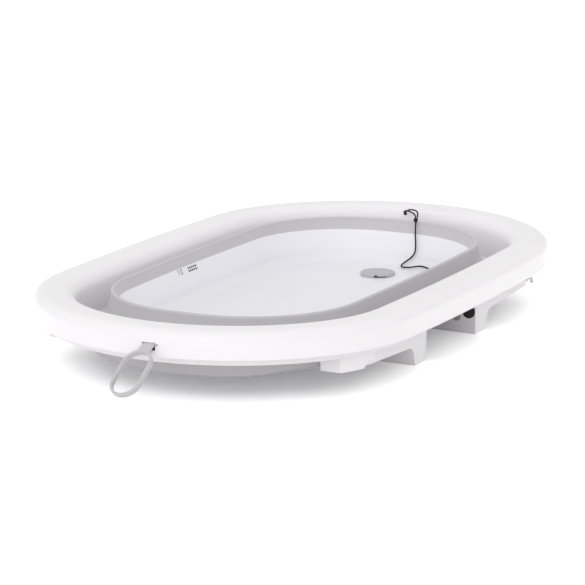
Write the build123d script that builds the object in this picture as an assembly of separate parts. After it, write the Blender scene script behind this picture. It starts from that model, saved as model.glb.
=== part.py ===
from build123d import *
import os
from math import asin, atan2, cos, degrees, hypot, pi, radians, sin, sqrt, tan

os.makedirs("parts", exist_ok=True)

# Folding baby bathtub, folded flat: a hollow white rim, a basin hung from it on a soft folding wall,
# two folding leg frames, a drain with its plug, a tether cord and a hanging loop.
# Millimetres, +Z up. Z = 0 is the surface that the folded tub rests on, on the bars of its leg frames.
# Every shape is drawn about the middle of the rim, with -X the end that has the hanging loop.
# At the end all of them are moved along X, so that the middle of the whole object is at X = 0.

# Rim, seen from above. Each outline's end arc has half its width as its radius and a little over, and its
# corner arcs have half its width and a little under.
rim_length = 820.0
rim_width = 487.6
rim_end_over_half = 5.2
rim_corner_under_half = 40.8
rim_side_radius = 4830.0

# Rim, in section: an open shell, rounded on top
folded_height = 90.0
rim_wall = 3.0
rim_band = 56.0
rim_skirt_height = 32.5
rim_skirt_draft = 1.0
rim_outer_rounding = 14.0
rim_crown_inset = 50.0
rim_inner_rounding = 20.0
rim_inner_height = 48.0

# Soap dish pressed into the rim at the far end
dish_length = 90.0
dish_width = 18.0
dish_inset = 38.0
dish_y = -10.0
dish_depth = 4.5
dish_draft = 60.0

# Ring that closes the rim from below
ring_wall = 2.5
ring_setback = 3.0
ring_lip_inset = 15.0
ring_lip_height = 14.5
ring_inner_inset = 49.0
ring_inner_height = 8.5
ring_skirt_gap = 0.4
ring_rib_thickness = 2.0
ring_rib_height = 5.0
ribs_per_end = 4
ribs_per_side = 6

# Screws that hold the ring to the rim
screw_inset = 32.0
screw_shank_radius = 1.6
screw_length = 18.0
screw_head_radius = 3.6
screw_head_height = 2.0
screw_boss_radius = 4.5
screw_clearance = 0.2

# Crest: the outline of the soft wall's folded top edge, this far inside the rim's
crest_end_gap = 110.0
crest_side_gap = 86.8
crest_end_over_half = 335.0
crest_corner_under_half = 21.0
crest_side_radius = 4800.0
crest_drop = 5.0

# Soft wall
band_thickness = 2.5
fold_depth = 57.0
fold_inner_radius = 3.0
fold_gap = 0.3
anchor_lean = 5.0
bead_width = 5.0
bead_height = 4.0
band_levels = 5

# Basin
tray_edge_drop = 15.0
tray_end_gap = 11.0
tray_side_gap = 5.0
tray_end_over_half = 332.0
tray_corner_under_half = 24.0
tray_side_radius = 4790.0
tray_wall = 3.0
basin_depth = 56.0
tray_lean = 11.0
tray_floor_rounding = 14.0
rounding_steps = 3
tray_rib_height = 2.5
tray_rib_thickness = 2.5
tray_cross_ribs = 5
tray_rib_side_gap = 47.0
tray_rib_end_gap = 109.0

# Drain in the basin floor and its plug
drain_end_gap = 79.0
drain_y = -6.0
drain_bore_radius = 13.5
drain_spout_radius = 17.0
drain_spout_length = 17.0
drain_flange_radius = 20.0
drain_flange_thickness = 2.0
drain_boss_radius = 26.0
drain_boss_thickness = 5.0
drain_bar_thickness = 2.5
gasket_thickness = 2.0
gasket_radius = 24.0
nut_height = 6.0
nut_radius = 23.0
nut_lobes = 6
nut_lobe_radius = 4.0
plug_radius = 22.5
plug_thickness = 3.5
plug_edge_rounding = 1.0
plug_stem_radius = 11.5
plug_stem_wall = 2.5
plug_stem_length = 9.0
plug_seat_gap = 0.3
plug_notch_radius = 3.5
plug_notch_angle = 231.0
seal_radius = 1.6
seal_inset = 0.3

# Leg frames
hinge_end_gap = 153.0
leg_thickness = 12.4
leg_wall = 3.0
foot_gap = 146.0
foot_depth = 32.0
foot_lean = 6.0
foot_rounding = 14.0
foot_corner = 3.0
leg_bar_gap = 1.0
leg_rib_pitch = 52.0
beam_ribs = 2
leg_rib_thickness = 2.5
beam_jog_rounding = 7.0
knuckle_radius = 8.0
knuckle_gap = 0.4
beam_arch_drop = 6.0

# Rubber pads and grey caps on the feet
pad_radius = 8.5
pad_thickness = 3.0
pad_proud = 1.0
pad_height = 28.0
pad_edge = 1.2
cap_radius = 5.8
cap_thickness = 2.0
cap_proud = 0.3
cap_gap = 2.0
seat_clearance = 0.05

# Hinge brackets under the rim, and their pins
bracket_inset = 20.0
bracket_width = 24.0
bracket_cheek = 4.0
bracket_inner_cheek = 3.5
bracket_length = 49.0
bracket_overhang = 25.0
bracket_nose_length = 11.0
bracket_nose_slope = 7.0
bracket_nose_height = 8.5
bracket_end_wall = 4.0
bracket_roof_gap = 0.8
bracket_corner = 2.0
bracket_roof = 3.0
bracket_wall = 2.5
bracket_post_radius = 4.5
pin_radius = 4.0
pin_running_gap = 0.05
pin_seat_gap = 0.02
pin_sink = 2.0

# Hanging loop at the near end
hanger_y = -15.0
hanger_height = 71.6
hanger_axle_inset = 2.0
hanger_tilt = 40.0
hanger_lowest_tilt = 60.0
hanger_pin_radius = 1.2
hanger_eye_radius = 2.4
hanger_strap_length = 16.0
hanger_strap_width = 16.0
hanger_strap_thickness = 4.0
hanger_loop_length = 56.0
hanger_loop_width = 42.0
hanger_loop_wall = 3.0
hanger_loop_depth = 8.5
hanger_gap = 0.3
lug_thickness = 3.0
lug_depth = 5.0
lug_height = 8.0

# Tether cord of the plug
cord_diameter = 2.0
cord_gap = 0.3
cord_hole_inset = 49.2
cord_hole_y = 24.0
cord_lead = 5.0
stop_knot_radius = 3.2
crest_knot_radius = 3.0
end_knot_radius = 2.4

# Cuts run this far past what they cut
overrun = 5.0

# Levels and places worked out from the sizes above
crest_length = rim_length - 2 * crest_end_gap
crest_width = rim_width - 2 * crest_side_gap
tray_length = crest_length - 2 * tray_end_gap
tray_width = crest_width - 2 * tray_side_gap
tray_rib_run = tray_length - 2 * tray_rib_end_gap
tray_rib_span = tray_width - 2 * tray_rib_side_gap
rim_top = folded_height
skirt_bottom = rim_top - rim_skirt_height
inner_edge_bottom = rim_top - rim_inner_height
web_bottom = skirt_bottom + ring_setback
web_top = web_bottom + ring_wall
lip_bottom = web_top - ring_lip_height
crest_top = rim_top - crest_drop
fold_bottom = crest_top - fold_depth
tray_edge = crest_top - tray_edge_drop
tray_floor = crest_top - basin_depth
tray_under = tray_floor - tray_wall
bar_top = tray_under - tray_rib_height - leg_bar_gap
hinge_x = rim_length / 2 - hinge_end_gap
drain_x = tray_length / 2 - drain_end_gap
hinge_z = lip_bottom - (bracket_roof_gap + knuckle_radius + ring_wall / 2 + bracket_roof_gap / 2)
beam_top = hinge_z + knuckle_radius
beam_bottom = hinge_z - knuckle_radius
arch_top = beam_bottom - beam_arch_drop
hinge_end = bracket_length - bracket_overhang
cord_spacing = cord_diameter + cord_gap
foot_inner = foot_gap / 2
foot_outer = foot_inner + foot_depth
fold_outer_radius = fold_inner_radius + band_thickness
fold_centre_z = fold_bottom + fold_outer_radius
anchor_inset = rim_band + anchor_lean
fold_start_inset = anchor_inset + 2 * fold_inner_radius
hanger_axle_x = -(rim_length / 2 - hanger_axle_inset)
hanger_reach = hanger_strap_length + hanger_loop_length
hanger_tip_x = (
    hanger_axle_x
    - hanger_reach * cos(radians(hanger_tilt))
    - hanger_loop_depth / 2 * sin(radians(hanger_tilt))
)
shift_x = (-hanger_tip_x - rim_length / 2) / 2


def outline(length, width, end_over_half, corner_under_half, side_radius):
    """Plan outline of eight tangent arcs, each (centre x, centre y, radius, from angle, to angle)."""
    end_radius = width / 2 + end_over_half
    corner_radius = width / 2 - corner_under_half
    end_x = length / 2 - end_radius
    side_y = width / 2 - side_radius
    from_end = end_radius - corner_radius
    from_side = side_radius - corner_radius
    apart = hypot(end_x, side_y)
    along = (from_end**2 - from_side**2 + apart**2) / (2 * apart)
    across = sqrt(from_end**2 - along**2)
    to_side_x, to_side_y = -end_x / apart, side_y / apart
    corner_x = end_x + to_side_x * along - to_side_y * across
    corner_y = to_side_y * along + to_side_x * across
    end_turn = atan2(corner_y, corner_x - end_x)
    side_turn = atan2(corner_y - side_y, corner_x)
    return [
        (end_x, 0, end_radius, -end_turn, end_turn),
        (corner_x, corner_y, corner_radius, end_turn, side_turn),
        (0, side_y, side_radius, side_turn, pi - side_turn),
        (-corner_x, corner_y, corner_radius, pi - side_turn, pi - end_turn),
        (-end_x, 0, end_radius, pi - end_turn, pi + end_turn),
        (-corner_x, -corner_y, corner_radius, pi + end_turn, pi + side_turn),
        (0, -side_y, side_radius, pi + side_turn, 2 * pi - side_turn),
        (corner_x, -corner_y, corner_radius, 2 * pi - side_turn, 2 * pi - end_turn),
    ]


def inset(arcs, distance):
    """The same outline, moved inwards by a distance."""
    return [(x, y, radius - distance, start, end) for x, y, radius, start, end in arcs]


def on_arc(arc, angle, z=0):
    """Point of an arc at an angle."""
    x, y, radius = arc[:3]
    return Vector(x + radius * cos(angle), y + radius * sin(angle), z)


def outline_face(arcs, z):
    """Flat face inside an outline, at a height."""
    edges = [
        ThreePointArc(on_arc(arc, arc[3], z), on_arc(arc, (arc[3] + arc[4]) / 2, z), on_arc(arc, arc[4], z))
        for arc in arcs
    ]
    return make_face(edges)


def outline_y(arcs, x):
    """Half width of an outline at a place along it."""
    for cx, cy, radius, start, end in arcs[:3]:
        if abs(x - cx) < radius:
            y = cy + sqrt(radius**2 - (x - cx) ** 2)
            if start <= atan2(y - cy, x - cx) <= end:
                return y
    return 0


def outline_x(arcs, y):
    """Half length of an outline at a place across it."""
    cx, cy, radius = arcs[0][:3]
    return cx + sqrt(radius**2 - y**2)


def section_on(arc, angle, section):
    """A section, drawn as (distance inwards, height), stood up across an arc at an angle."""
    inwards = Vector(-cos(angle), -sin(angle), 0)
    along = Vector(-sin(angle), cos(angle), 0)
    return Plane(origin=on_arc(arc, angle), x_dir=inwards, z_dir=along) * section


def turned(arc, section):
    """A section turned along one arc of an outline."""
    axis = Axis((arc[0], arc[1], 0), (0, 0, 1))
    return revolve(section_on(arc, arc[3], section), axis, degrees(arc[4] - arc[3]))


def ring(arcs, section):
    """Closed ring: a section carried round an outline, one turned piece for each arc."""
    pieces = [turned(arc, section) for arc in arcs]
    return pieces[0].fuse(*pieces[1:])


def polygon(*points):
    """Flat face with straight edges."""
    return make_face(Polyline(*points, close=True))


def rounded_polygon(points, radii):
    """Flat face with straight edges and rounded corners, a radius of zero leaving a corner sharp."""
    return make_face(FilletPolyline(*points, radius=radii, close=True))


def stack(levels):
    """Solid lofted through outlines, each given with its height."""
    return loft([outline_face(arcs, z) for arcs, z in levels], ruled=True)


def between(low, high, share):
    """Value part of the way from one to another."""
    return low + (high - low) * share


rim_outline = outline(rim_length, rim_width, rim_end_over_half, rim_corner_under_half, rim_side_radius)
outer_cheek_face = inset(rim_outline, bracket_inset + bracket_cheek)
inner_cheek_face = inset(rim_outline, bracket_inset + bracket_width - bracket_inner_cheek)
knuckle_outer = outline_y(outer_cheek_face, hinge_x + knuckle_radius) - knuckle_gap
knuckle_inner = outline_y(inner_cheek_face, hinge_x - knuckle_radius) + knuckle_gap
beam_inner = outline_y(inner_cheek_face, hinge_x - hinge_end) + knuckle_gap
beam_outer = beam_inner + leg_thickness
crest_outline = outline(
    crest_length, crest_width, crest_end_over_half, crest_corner_under_half, crest_side_radius
)
tray_outline = outline(
    tray_length, tray_width, tray_end_over_half, tray_corner_under_half, tray_side_radius
)


def box(x, y, z):
    """Box from ranges along X, Y and Z."""
    size = [high - low for low, high in (x, y, z)]
    middle = [(low + high) / 2 for low, high in (x, y, z)]
    return Pos(*middle) * Box(*size)


def post(x, y, z, radius):
    """Upright cylinder over a range of heights."""
    return Pos(x, y, (z[0] + z[1]) / 2) * Cylinder(radius, z[1] - z[0])


def cross_rod(x, y, z, radius):
    """Cylinder along Y over a range across the tub."""
    return Pos(x, (y[0] + y[1]) / 2, z) * Rot(90, 0, 0) * Cylinder(radius, abs(y[1] - y[0]))


def screw_places():
    """Places of the screws that hold the ring: on the ends and along the sides."""
    places = []
    arcs = inset(rim_outline, screw_inset)
    for number in (0, 4):
        arc = arcs[number]
        for share in (1 / 6, 5 / 6):
            places.append(on_arc(arc, between(arc[3], arc[4], share)))
    for number in (2, 6):
        arc = arcs[number]
        for share in (1 / 10, 1 / 2, 9 / 10):
            places.append(on_arc(arc, between(arc[3], arc[4], share)))
    return places


def rim_mass():
    """Section of the rim as if it were solid."""
    points = [
        (0, skirt_bottom),
        (rim_skirt_draft, rim_top),
        (rim_crown_inset, rim_top),
        (rim_band, inner_edge_bottom),
    ]
    return rounded_polygon(points, [0, rim_outer_rounding, rim_inner_rounding, 0])


def rim_section():
    """Section of the rim shell: upright skirt, rounded crown and sloping inner wall, open below."""
    slope = (rim_band - rim_crown_inset) / rim_inner_height
    level_wall = rim_wall * hypot(1, slope)
    inner_crown = rim_band - level_wall - (rim_inner_height - rim_wall) * slope
    points = [
        (0, skirt_bottom),
        (rim_skirt_draft, rim_top),
        (rim_crown_inset, rim_top),
        (rim_band, inner_edge_bottom),
        (rim_band - level_wall, inner_edge_bottom),
        (inner_crown, rim_top - rim_wall),
        (rim_skirt_draft + rim_wall, rim_top - rim_wall),
        (rim_wall, skirt_bottom),
    ]
    radii = [
        0,
        rim_outer_rounding,
        rim_inner_rounding,
        0,
        0,
        rim_inner_rounding - rim_wall,
        rim_outer_rounding - rim_wall,
        0,
    ]
    return rounded_polygon(points, radii)


def shoulder():
    """Centre of the inner shoulder's bend, as distance inwards and height."""
    turn = atan2(rim_inner_height, rim_band - rim_crown_inset)
    return rim_crown_inset - rim_inner_rounding * tan(turn / 2), rim_top - rim_inner_rounding


def shoulder_plane(distance, y):
    """Plane that touches the inner shoulder at the far end, facing out of it."""
    centre_inset, centre_z = shoulder()
    lean = asin(max(distance - centre_inset, 0) / rim_inner_rounding)
    x = outline_x(inset(rim_outline, distance), y)
    point = (x, y, centre_z + rim_inner_rounding * cos(lean))
    return Plane(origin=point, x_dir=(cos(lean), 0, sin(lean)), z_dir=(-sin(lean), 0, cos(lean)))


def under_shoulder(distance):
    """Height of the middle of the shell's wall at a distance inwards."""
    centre_inset, centre_z = shoulder()
    return centre_z + sqrt((rim_inner_rounding - rim_wall / 2) ** 2 - (distance - centre_inset) ** 2)


def hanger_span():
    """Side of the slot in the skirt, from the middle of the hanging loop's strap."""
    return hanger_strap_width / 2 + hanger_gap


def hanger_slot():
    """Slot in the skirt that the strap swings in, down to its lowest tilt."""
    tilt = radians(hanger_lowest_tilt)
    half = hanger_strap_thickness / 2
    run = (hanger_axle_inset + half * sin(tilt)) / cos(tilt)
    low = hanger_height - run * sin(tilt) - half * cos(tilt) - 2 * hanger_gap
    high = hanger_height + hanger_eye_radius + 2 * hanger_gap
    return box(
        (hanger_axle_x - overrun, hanger_axle_x + lug_depth),
        (hanger_y - hanger_span(), hanger_y + hanger_span()),
        (low, high),
    )


def hanger_lugs():
    """Ears inside the skirt, on both sides of the slot, that hold the hanging loop's pin."""
    reach = hanger_span() + lug_thickness
    return box(
        (hanger_axle_x, hanger_axle_x + lug_depth),
        (hanger_y - reach, hanger_y + reach),
        (hanger_height - lug_height / 2, hanger_height + lug_height / 2),
    )


def soap_dish(depth, grow):
    """Oval bowl sunk square into the inner shoulder at the far end, narrower below."""
    place = shoulder_plane(dish_inset, dish_y)
    narrow = depth / tan(radians(dish_draft))
    half_width = dish_width / 2 + grow
    half_length = dish_length / 2 + grow
    top = place * Ellipse(half_width, half_length)
    low = place * Pos(0, 0, -depth) * Ellipse(half_width - narrow, half_length - narrow)
    return loft([low, top], ruled=True)


def cord_hole():
    """Hole in the inner shoulder for both strands of the tether."""
    radius = cord_spacing / 2 + cord_diameter / 2 + cord_gap
    return shoulder_plane(cord_hole_inset, cord_hole_y) * Cylinder(radius, 4 * rim_wall)


def rim_shell():
    """White upper shell of the rim, with screw bosses, ears for the hanging loop and a soap dish."""
    shell = ring(rim_outline, rim_section())
    boss_top = under_shoulder(screw_inset + screw_boss_radius)
    for place in screw_places():
        boss = post(place.X, place.Y, (web_top, boss_top), screw_boss_radius)
        hole = post(place.X, place.Y, (web_top - overrun, web_bottom + screw_length), screw_shank_radius)
        shell = shell + boss - hole
    mouth = extrude(shoulder_plane(dish_inset, dish_y) * Ellipse(dish_width / 2, dish_length / 2), overrun)
    shell = shell + (soap_dish(dish_depth + rim_wall, rim_wall / 2) & turned(rim_outline[0], rim_mass()))
    shell = shell - soap_dish(dish_depth, 0) - mouth
    shell = shell + hanger_lugs() - hanger_slot()
    reach = hanger_span() + lug_thickness
    pin = cross_rod(
        hanger_axle_x,
        (hanger_y - reach, hanger_y + reach),
        hanger_height,
        hanger_pin_radius + pin_seat_gap,
    )
    return shell - pin - cord_hole()


def ring_section():
    """Section of the closing ring: a flat web with a lip outside and a flange inside."""
    outer = rim_wall + ring_skirt_gap
    flange_bottom = web_top - ring_inner_height
    return polygon(
        (outer, web_top),
        (outer, web_bottom),
        (ring_lip_inset, web_bottom),
        (ring_lip_inset, lip_bottom),
        (ring_lip_inset + ring_wall, lip_bottom),
        (ring_lip_inset + ring_wall, web_bottom),
        (ring_inner_inset - ring_wall, web_bottom),
        (ring_inner_inset - ring_wall, flange_bottom),
        (ring_inner_inset, flange_bottom),
        (ring_inner_inset, web_top),
    )


def ring_rib(arc, angle):
    """Radial rib under the web, between the lip and the inner flange."""
    start = ring_lip_inset + ring_wall / 2
    end = ring_inner_inset - ring_wall / 2
    profile = polygon(
        (start, web_bottom + ring_wall / 2),
        (start, web_bottom - ring_rib_height),
        (end, web_bottom - ring_rib_height),
        (end, web_bottom + ring_wall / 2),
    )
    return extrude(section_on(arc, angle, profile), ring_rib_thickness / 2, both=True)


def rim_under_ring():
    """Ring that closes the rim from below and carries the hinge brackets."""
    solid = ring(rim_outline, ring_section())
    for number, count in ((0, ribs_per_end), (4, ribs_per_end), (2, ribs_per_side), (6, ribs_per_side)):
        arc = rim_outline[number]
        for k in range(count):
            solid = solid + ring_rib(arc, between(arc[3], arc[4], (k + 1) / (count + 1)))
    for place in screw_places():
        solid = solid - post(
            place.X,
            place.Y,
            (web_bottom - overrun, web_top + overrun),
            screw_shank_radius + screw_clearance,
        )
    for x, y in bracket_screw_places():
        solid = solid - post(
            x, y, (web_bottom - overrun, web_top + overrun), screw_shank_radius + screw_clearance
        )
    return solid


def ring_screws():
    """Screws that hold the ring up against the bosses of the rim shell."""
    screws = []
    for place in screw_places():
        head = post(place.X, place.Y, (web_bottom - screw_head_height, web_bottom), screw_head_radius)
        shank = post(
            place.X,
            place.Y,
            (web_bottom - screw_head_height / 2, web_bottom + screw_length - screw_head_height),
            screw_shank_radius - pin_seat_gap,
        )
        screws.append(head + shank)
    return Compound(screws)


def anchor_section():
    """Section of the wall's fixed band: down from the rim's inner edge and round the bottom of the fold."""
    slope = (rim_band - rim_crown_inset) / rim_inner_height
    top_outer = rim_band - rim_wall * hypot(1, slope)
    top_inner = top_outer + band_thickness
    middle = anchor_inset + fold_inner_radius
    wall = polygon(
        (top_outer, inner_edge_bottom),
        (top_inner, inner_edge_bottom),
        (anchor_inset, fold_centre_z),
        (anchor_inset - band_thickness, fold_centre_z),
    )
    bend = make_face(
        [
            Line((middle - fold_outer_radius, fold_centre_z), (middle - fold_inner_radius, fold_centre_z)),
            ThreePointArc(
                (middle - fold_inner_radius, fold_centre_z),
                (middle, fold_centre_z - fold_inner_radius),
                (middle + fold_inner_radius, fold_centre_z),
            ),
            Line((middle + fold_inner_radius, fold_centre_z), (middle + fold_outer_radius, fold_centre_z)),
            ThreePointArc(
                (middle + fold_outer_radius, fold_centre_z),
                (middle, fold_centre_z - fold_outer_radius),
                (middle - fold_outer_radius, fold_centre_z),
            ),
        ]
    )
    return wall, bend


def wall_anchor_band():
    """Part of the soft wall that stays with the rim."""
    wall, bend = anchor_section()
    return ring(rim_outline, wall) + ring(rim_outline, bend)


def fold_level(share, setback):
    """Outline of the folded wall part of the way up, flaring out below, with its height."""
    plan = 1 - (1 - share) ** 2
    start = fold_start_inset
    size = outline(
        between(rim_length - 2 * start, crest_length + bead_width, plan),
        between(rim_width - 2 * start, crest_width + bead_width, plan),
        between(rim_end_over_half, crest_end_over_half, plan),
        between(rim_corner_under_half, crest_corner_under_half, plan),
        between(rim_side_radius - start, crest_side_radius + bead_width / 2, plan),
    )
    z = between(fold_centre_z + fold_gap, crest_top - bead_height - fold_gap, share)
    return inset(size, setback), z


def wall_fold_band():
    """Part of the soft wall that turns inside out when the basin is pushed down."""
    shares = [k / (band_levels - 1) for k in range(band_levels)]
    outer = stack([fold_level(share, 0) for share in shares])
    inner = stack([fold_level(share, band_thickness) for share in shares])
    return outer - inner


def bead_section():
    """Section of the rounded bead along the crest, drawn from the crest's outline."""
    half = bead_width / 2
    low = crest_top - bead_height
    shoulder = crest_top - half
    return make_face(
        [
            Line((-half, low), (half, low)),
            Line((half, low), (half, shoulder)),
            ThreePointArc((half, shoulder), (0, crest_top), (-half, shoulder)),
            Line((-half, shoulder), (-half, low)),
        ]
    )


def wall_inner_band():
    """Crest bead and the short band down to the basin's edge: they move with the basin."""
    bead = ring(crest_outline, bead_section())
    low = crest_top - bead_height
    inner = [(tray_outline, tray_edge), (inset(crest_outline, bead_width / 2), low)]
    outer = [
        (inset(tray_outline, -band_thickness), tray_edge),
        (inset(crest_outline, bead_width / 2 - band_thickness), low),
    ]
    return bead + (stack(outer) - stack(inner))


def tray_levels(offset, lift):
    """Outlines of the basin from its edge down its leaning wall and round into the floor."""
    levels = [(inset(tray_outline, -offset), tray_edge + lift)]
    centre = tray_floor + tray_floor_rounding
    for k in range(rounding_steps + 1):
        angle = pi / 2 * k / rounding_steps
        radius = tray_floor_rounding + offset
        distance = tray_lean + tray_floor_rounding - radius * cos(angle)
        levels.append((inset(tray_outline, distance), centre - radius * sin(angle)))
    return levels


def tray():
    """White basin: leaning walls, rounded floor, ribs underneath and a boss for the drain."""
    solid = stack(tray_levels(tray_wall, 0))
    under = (tray_under - tray_rib_height, tray_under + tray_wall / 2)
    half_rib = tray_rib_thickness / 2
    for k in range(tray_cross_ribs):
        x = between(-tray_rib_run / 2, tray_rib_run / 2, k / (tray_cross_ribs - 1)) - tray_rib_height
        solid = solid + box(
            (x - half_rib, x + half_rib), (-tray_rib_span / 2, tray_rib_span / 2), under
        )
    for side in (-1, 1):
        y = side * tray_rib_span / 4
        solid = solid + box(
            (-tray_rib_run / 2, tray_rib_run / 2), (y - half_rib, y + half_rib), under
        )
    solid = solid + post(
        drain_x, drain_y, (tray_floor - drain_boss_thickness, tray_floor), drain_boss_radius
    )
    solid = solid - stack(tray_levels(0, 0))
    solid = solid - post(
        drain_x, drain_y, (tray_under - 2 * overrun, tray_floor + overrun), drain_spout_radius + screw_clearance
    )
    return solid - post(
        drain_x,
        drain_y,
        (tray_floor - drain_flange_thickness, tray_floor + overrun),
        drain_flange_radius + screw_clearance,
    )


def drain_flange():
    """Drain spout: flange let into the floor, threaded tube through it and a cross that stops toys."""
    flange = post(drain_x, drain_y, (tray_floor - drain_flange_thickness, tray_floor), drain_flange_radius)
    bottom = tray_floor - drain_spout_length
    tube = post(drain_x, drain_y, (bottom, tray_floor - drain_flange_thickness / 2), drain_spout_radius)
    bore = post(drain_x, drain_y, (bottom - overrun, tray_floor + overrun), drain_bore_radius)
    spout = flange + tube - bore
    half = drain_bar_thickness / 2
    reach = (drain_bore_radius + drain_spout_radius) / 2
    low = (bottom, bottom + drain_bar_thickness)
    spout = spout + box((drain_x - reach, drain_x + reach), (drain_y - half, drain_y + half), low)
    return spout + box((drain_x - half, drain_x + half), (drain_y - reach, drain_y + reach), low)


def drain_gasket():
    """Soft washer between the basin's boss and the nut."""
    top = tray_floor - drain_boss_thickness
    washer = post(drain_x, drain_y, (top - gasket_thickness, top), gasket_radius)
    return washer - post(
        drain_x, drain_y, (top - overrun, top + overrun), drain_spout_radius + screw_clearance
    )


def drain_nut():
    """Lobed nut that pulls the drain tight from below."""
    top = tray_floor - drain_boss_thickness - gasket_thickness
    nut = post(drain_x, drain_y, (top - nut_height, top), nut_radius - nut_lobe_radius / 2)
    for k in range(nut_lobes):
        angle = 2 * pi * k / nut_lobes
        reach = nut_radius - nut_lobe_radius
        nut = nut + post(
            drain_x + reach * cos(angle),
            drain_y + reach * sin(angle),
            (top - nut_height, top),
            nut_lobe_radius,
        )
    return nut - post(
        drain_x, drain_y, (top - nut_height - overrun, top + overrun), drain_spout_radius + screw_clearance
    )


def drain_plug():
    """Grey plug: a flat disc with a finger notch, on a hollow stem grooved for its seal."""
    bottom = tray_floor + plug_seat_gap
    disc = post(drain_x, drain_y, (bottom, bottom + plug_thickness), plug_radius)
    disc = fillet(disc.edges().group_by(Axis.Z)[-1], plug_edge_rounding)
    stem = post(drain_x, drain_y, (bottom - plug_stem_length, bottom + plug_thickness / 2), plug_stem_radius)
    hollow = post(
        drain_x,
        drain_y,
        (bottom - plug_stem_length - overrun, bottom),
        plug_stem_radius - plug_stem_wall,
    )
    angle = radians(plug_notch_angle)
    notch = post(
        drain_x + plug_radius * cos(angle),
        drain_y + plug_radius * sin(angle),
        (bottom - overrun, bottom + plug_thickness + overrun),
        plug_notch_radius,
    )
    return disc + stem - hollow - notch - seal_ring(pin_seat_gap)


def seal_ring(grow):
    """Round seal in the stem's groove, clear of the drain's bore."""
    height = tray_floor + plug_seat_gap - plug_stem_length / 2
    reach = drain_bore_radius - seal_inset - seal_radius
    return Pos(drain_x, drain_y, height) * Torus(reach, seal_radius + grow)


def plug_seal():
    """Rubber seal of the plug."""
    return seal_ring(0)


def foot_inner_y():
    """Inner side of the foot's tall part, which passes beside the fold of the soft wall."""
    return rim_width / 2 - (rim_band + ring_wall / 2) + leg_bar_gap


def beam_plan(side):
    """Plan of one side beam: straight beside the foot, cranked in to the knuckle inside its bracket."""
    crank = hinge_x - sqrt(hinge_end**2 - knuckle_radius**2)
    points = [
        (-hinge_x, side * knuckle_inner),
        (-hinge_x, side * knuckle_outer),
        (-hinge_x + knuckle_radius, side * knuckle_outer),
        (-crank, side * beam_outer),
        (-foot_inner, side * beam_outer),
        (-foot_inner, side * beam_inner),
        (-crank, side * beam_inner),
    ]
    return rounded_polygon(points, [0, 0, 0, beam_jog_rounding, 0, 0, beam_jog_rounding])


def beam_side():
    """Side view of a beam: level top, arched underside and the foot's leaning outer edge."""
    return rounded_polygon(
        [
            (-hinge_x, beam_top),
            (-foot_inner, beam_top),
            (-foot_inner, 0),
            (-foot_outer, 0),
            (-foot_outer - foot_lean, arch_top),
            (-hinge_x + bracket_overhang, beam_bottom),
            (-hinge_x, beam_bottom),
        ],
        [0, foot_corner, foot_corner, foot_corner, foot_rounding, foot_rounding, 0],
    )


def beam_pocket(side):
    """Hollow in the inner face of a side beam, with two ribs left across it."""
    front = -foot_outer - foot_lean
    back = -hinge_x + hinge_end + 2 * leg_wall
    profile = [
        (front, beam_top - leg_wall),
        (front, arch_top + leg_wall + beam_arch_drop / 2),
        (back, beam_bottom + leg_wall),
        (back, beam_top - leg_wall),
    ]
    face = Plane.XZ.offset(-side * beam_inner) * rounded_polygon(profile, [leg_wall] * len(profile))
    pocket = extrude(face, -side * (leg_thickness - leg_wall))
    for k in range(beam_ribs):
        x = between(front, back, (k + 1) / (beam_ribs + 1))
        pocket = pocket - box(
            (x - leg_rib_thickness / 2, x + leg_rib_thickness / 2),
            (-beam_outer, beam_outer),
            (0, beam_top),
        )
    return pocket


def leg_side(side):
    """One side beam with its foot and its knuckle."""
    upright = extrude(beam_plan(side), beam_top)
    beam = upright & extrude(Plane.XZ * beam_side(), beam_outer + overrun, both=True)
    beam = beam + cross_rod(
        -hinge_x, (side * knuckle_inner, side * knuckle_outer), hinge_z, knuckle_radius
    )
    return beam - beam_pocket(side)


def foot_block(side):
    """Wide end of the cross bar that carries the pad and the cap."""
    near = foot_inner_y()
    top = pad_height + pad_radius + pad_edge
    tall = box((-foot_outer, -foot_inner), (near, beam_outer), (0, top))
    cap_side = near + pad_edge / 2 - cap_gap - 2 * cap_radius - leg_wall
    low = box((-foot_outer, -foot_inner), (cap_side, beam_outer), (0, fold_bottom - leg_bar_gap))
    block = tall + low
    if side < 0:
        block = mirror(block, about=Plane.XZ)
    profile = extrude(Plane.XZ * beam_side(), beam_outer + overrun, both=True)
    return block & profile


def bar_trough():
    """Hollow of the cross bar, open upwards, with ribs left across it."""
    half = foot_inner_y() - 2 * cap_radius - cap_gap - 2 * leg_wall
    hollow = box(
        (-foot_outer + leg_wall, -foot_inner - leg_wall), (-half, half), (leg_wall, bar_top + overrun)
    )
    ribs = int(2 * half // leg_rib_pitch)
    for k in range(ribs):
        y = between(-half, half, (k + 1) / (ribs + 1))
        hollow = hollow - box(
            (-foot_outer, -foot_inner),
            (y - leg_rib_thickness / 2, y + leg_rib_thickness / 2),
            (0, bar_top - leg_wall),
        )
    return hollow


def pad_place(side):
    """Height and side place of a rubber pad on the sole."""
    return side * (beam_outer - pad_edge / 2 - pad_radius), pad_height


def cap_place(side):
    """Height and side place of a grey cap on the sole."""
    y = foot_inner_y() + pad_edge / 2 - cap_gap - cap_radius
    return side * y, fold_bottom - leg_bar_gap - pad_edge / 2 - cap_radius


def sole_disc(place, radius, depth, proud):
    """Round piece let into the sole face of the near frame."""
    y, z = place
    disc = Pos(-foot_inner + (proud - depth) / 2, y, z) * Rot(0, 90, 0) * Cylinder(radius, depth + proud)
    return disc


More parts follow.
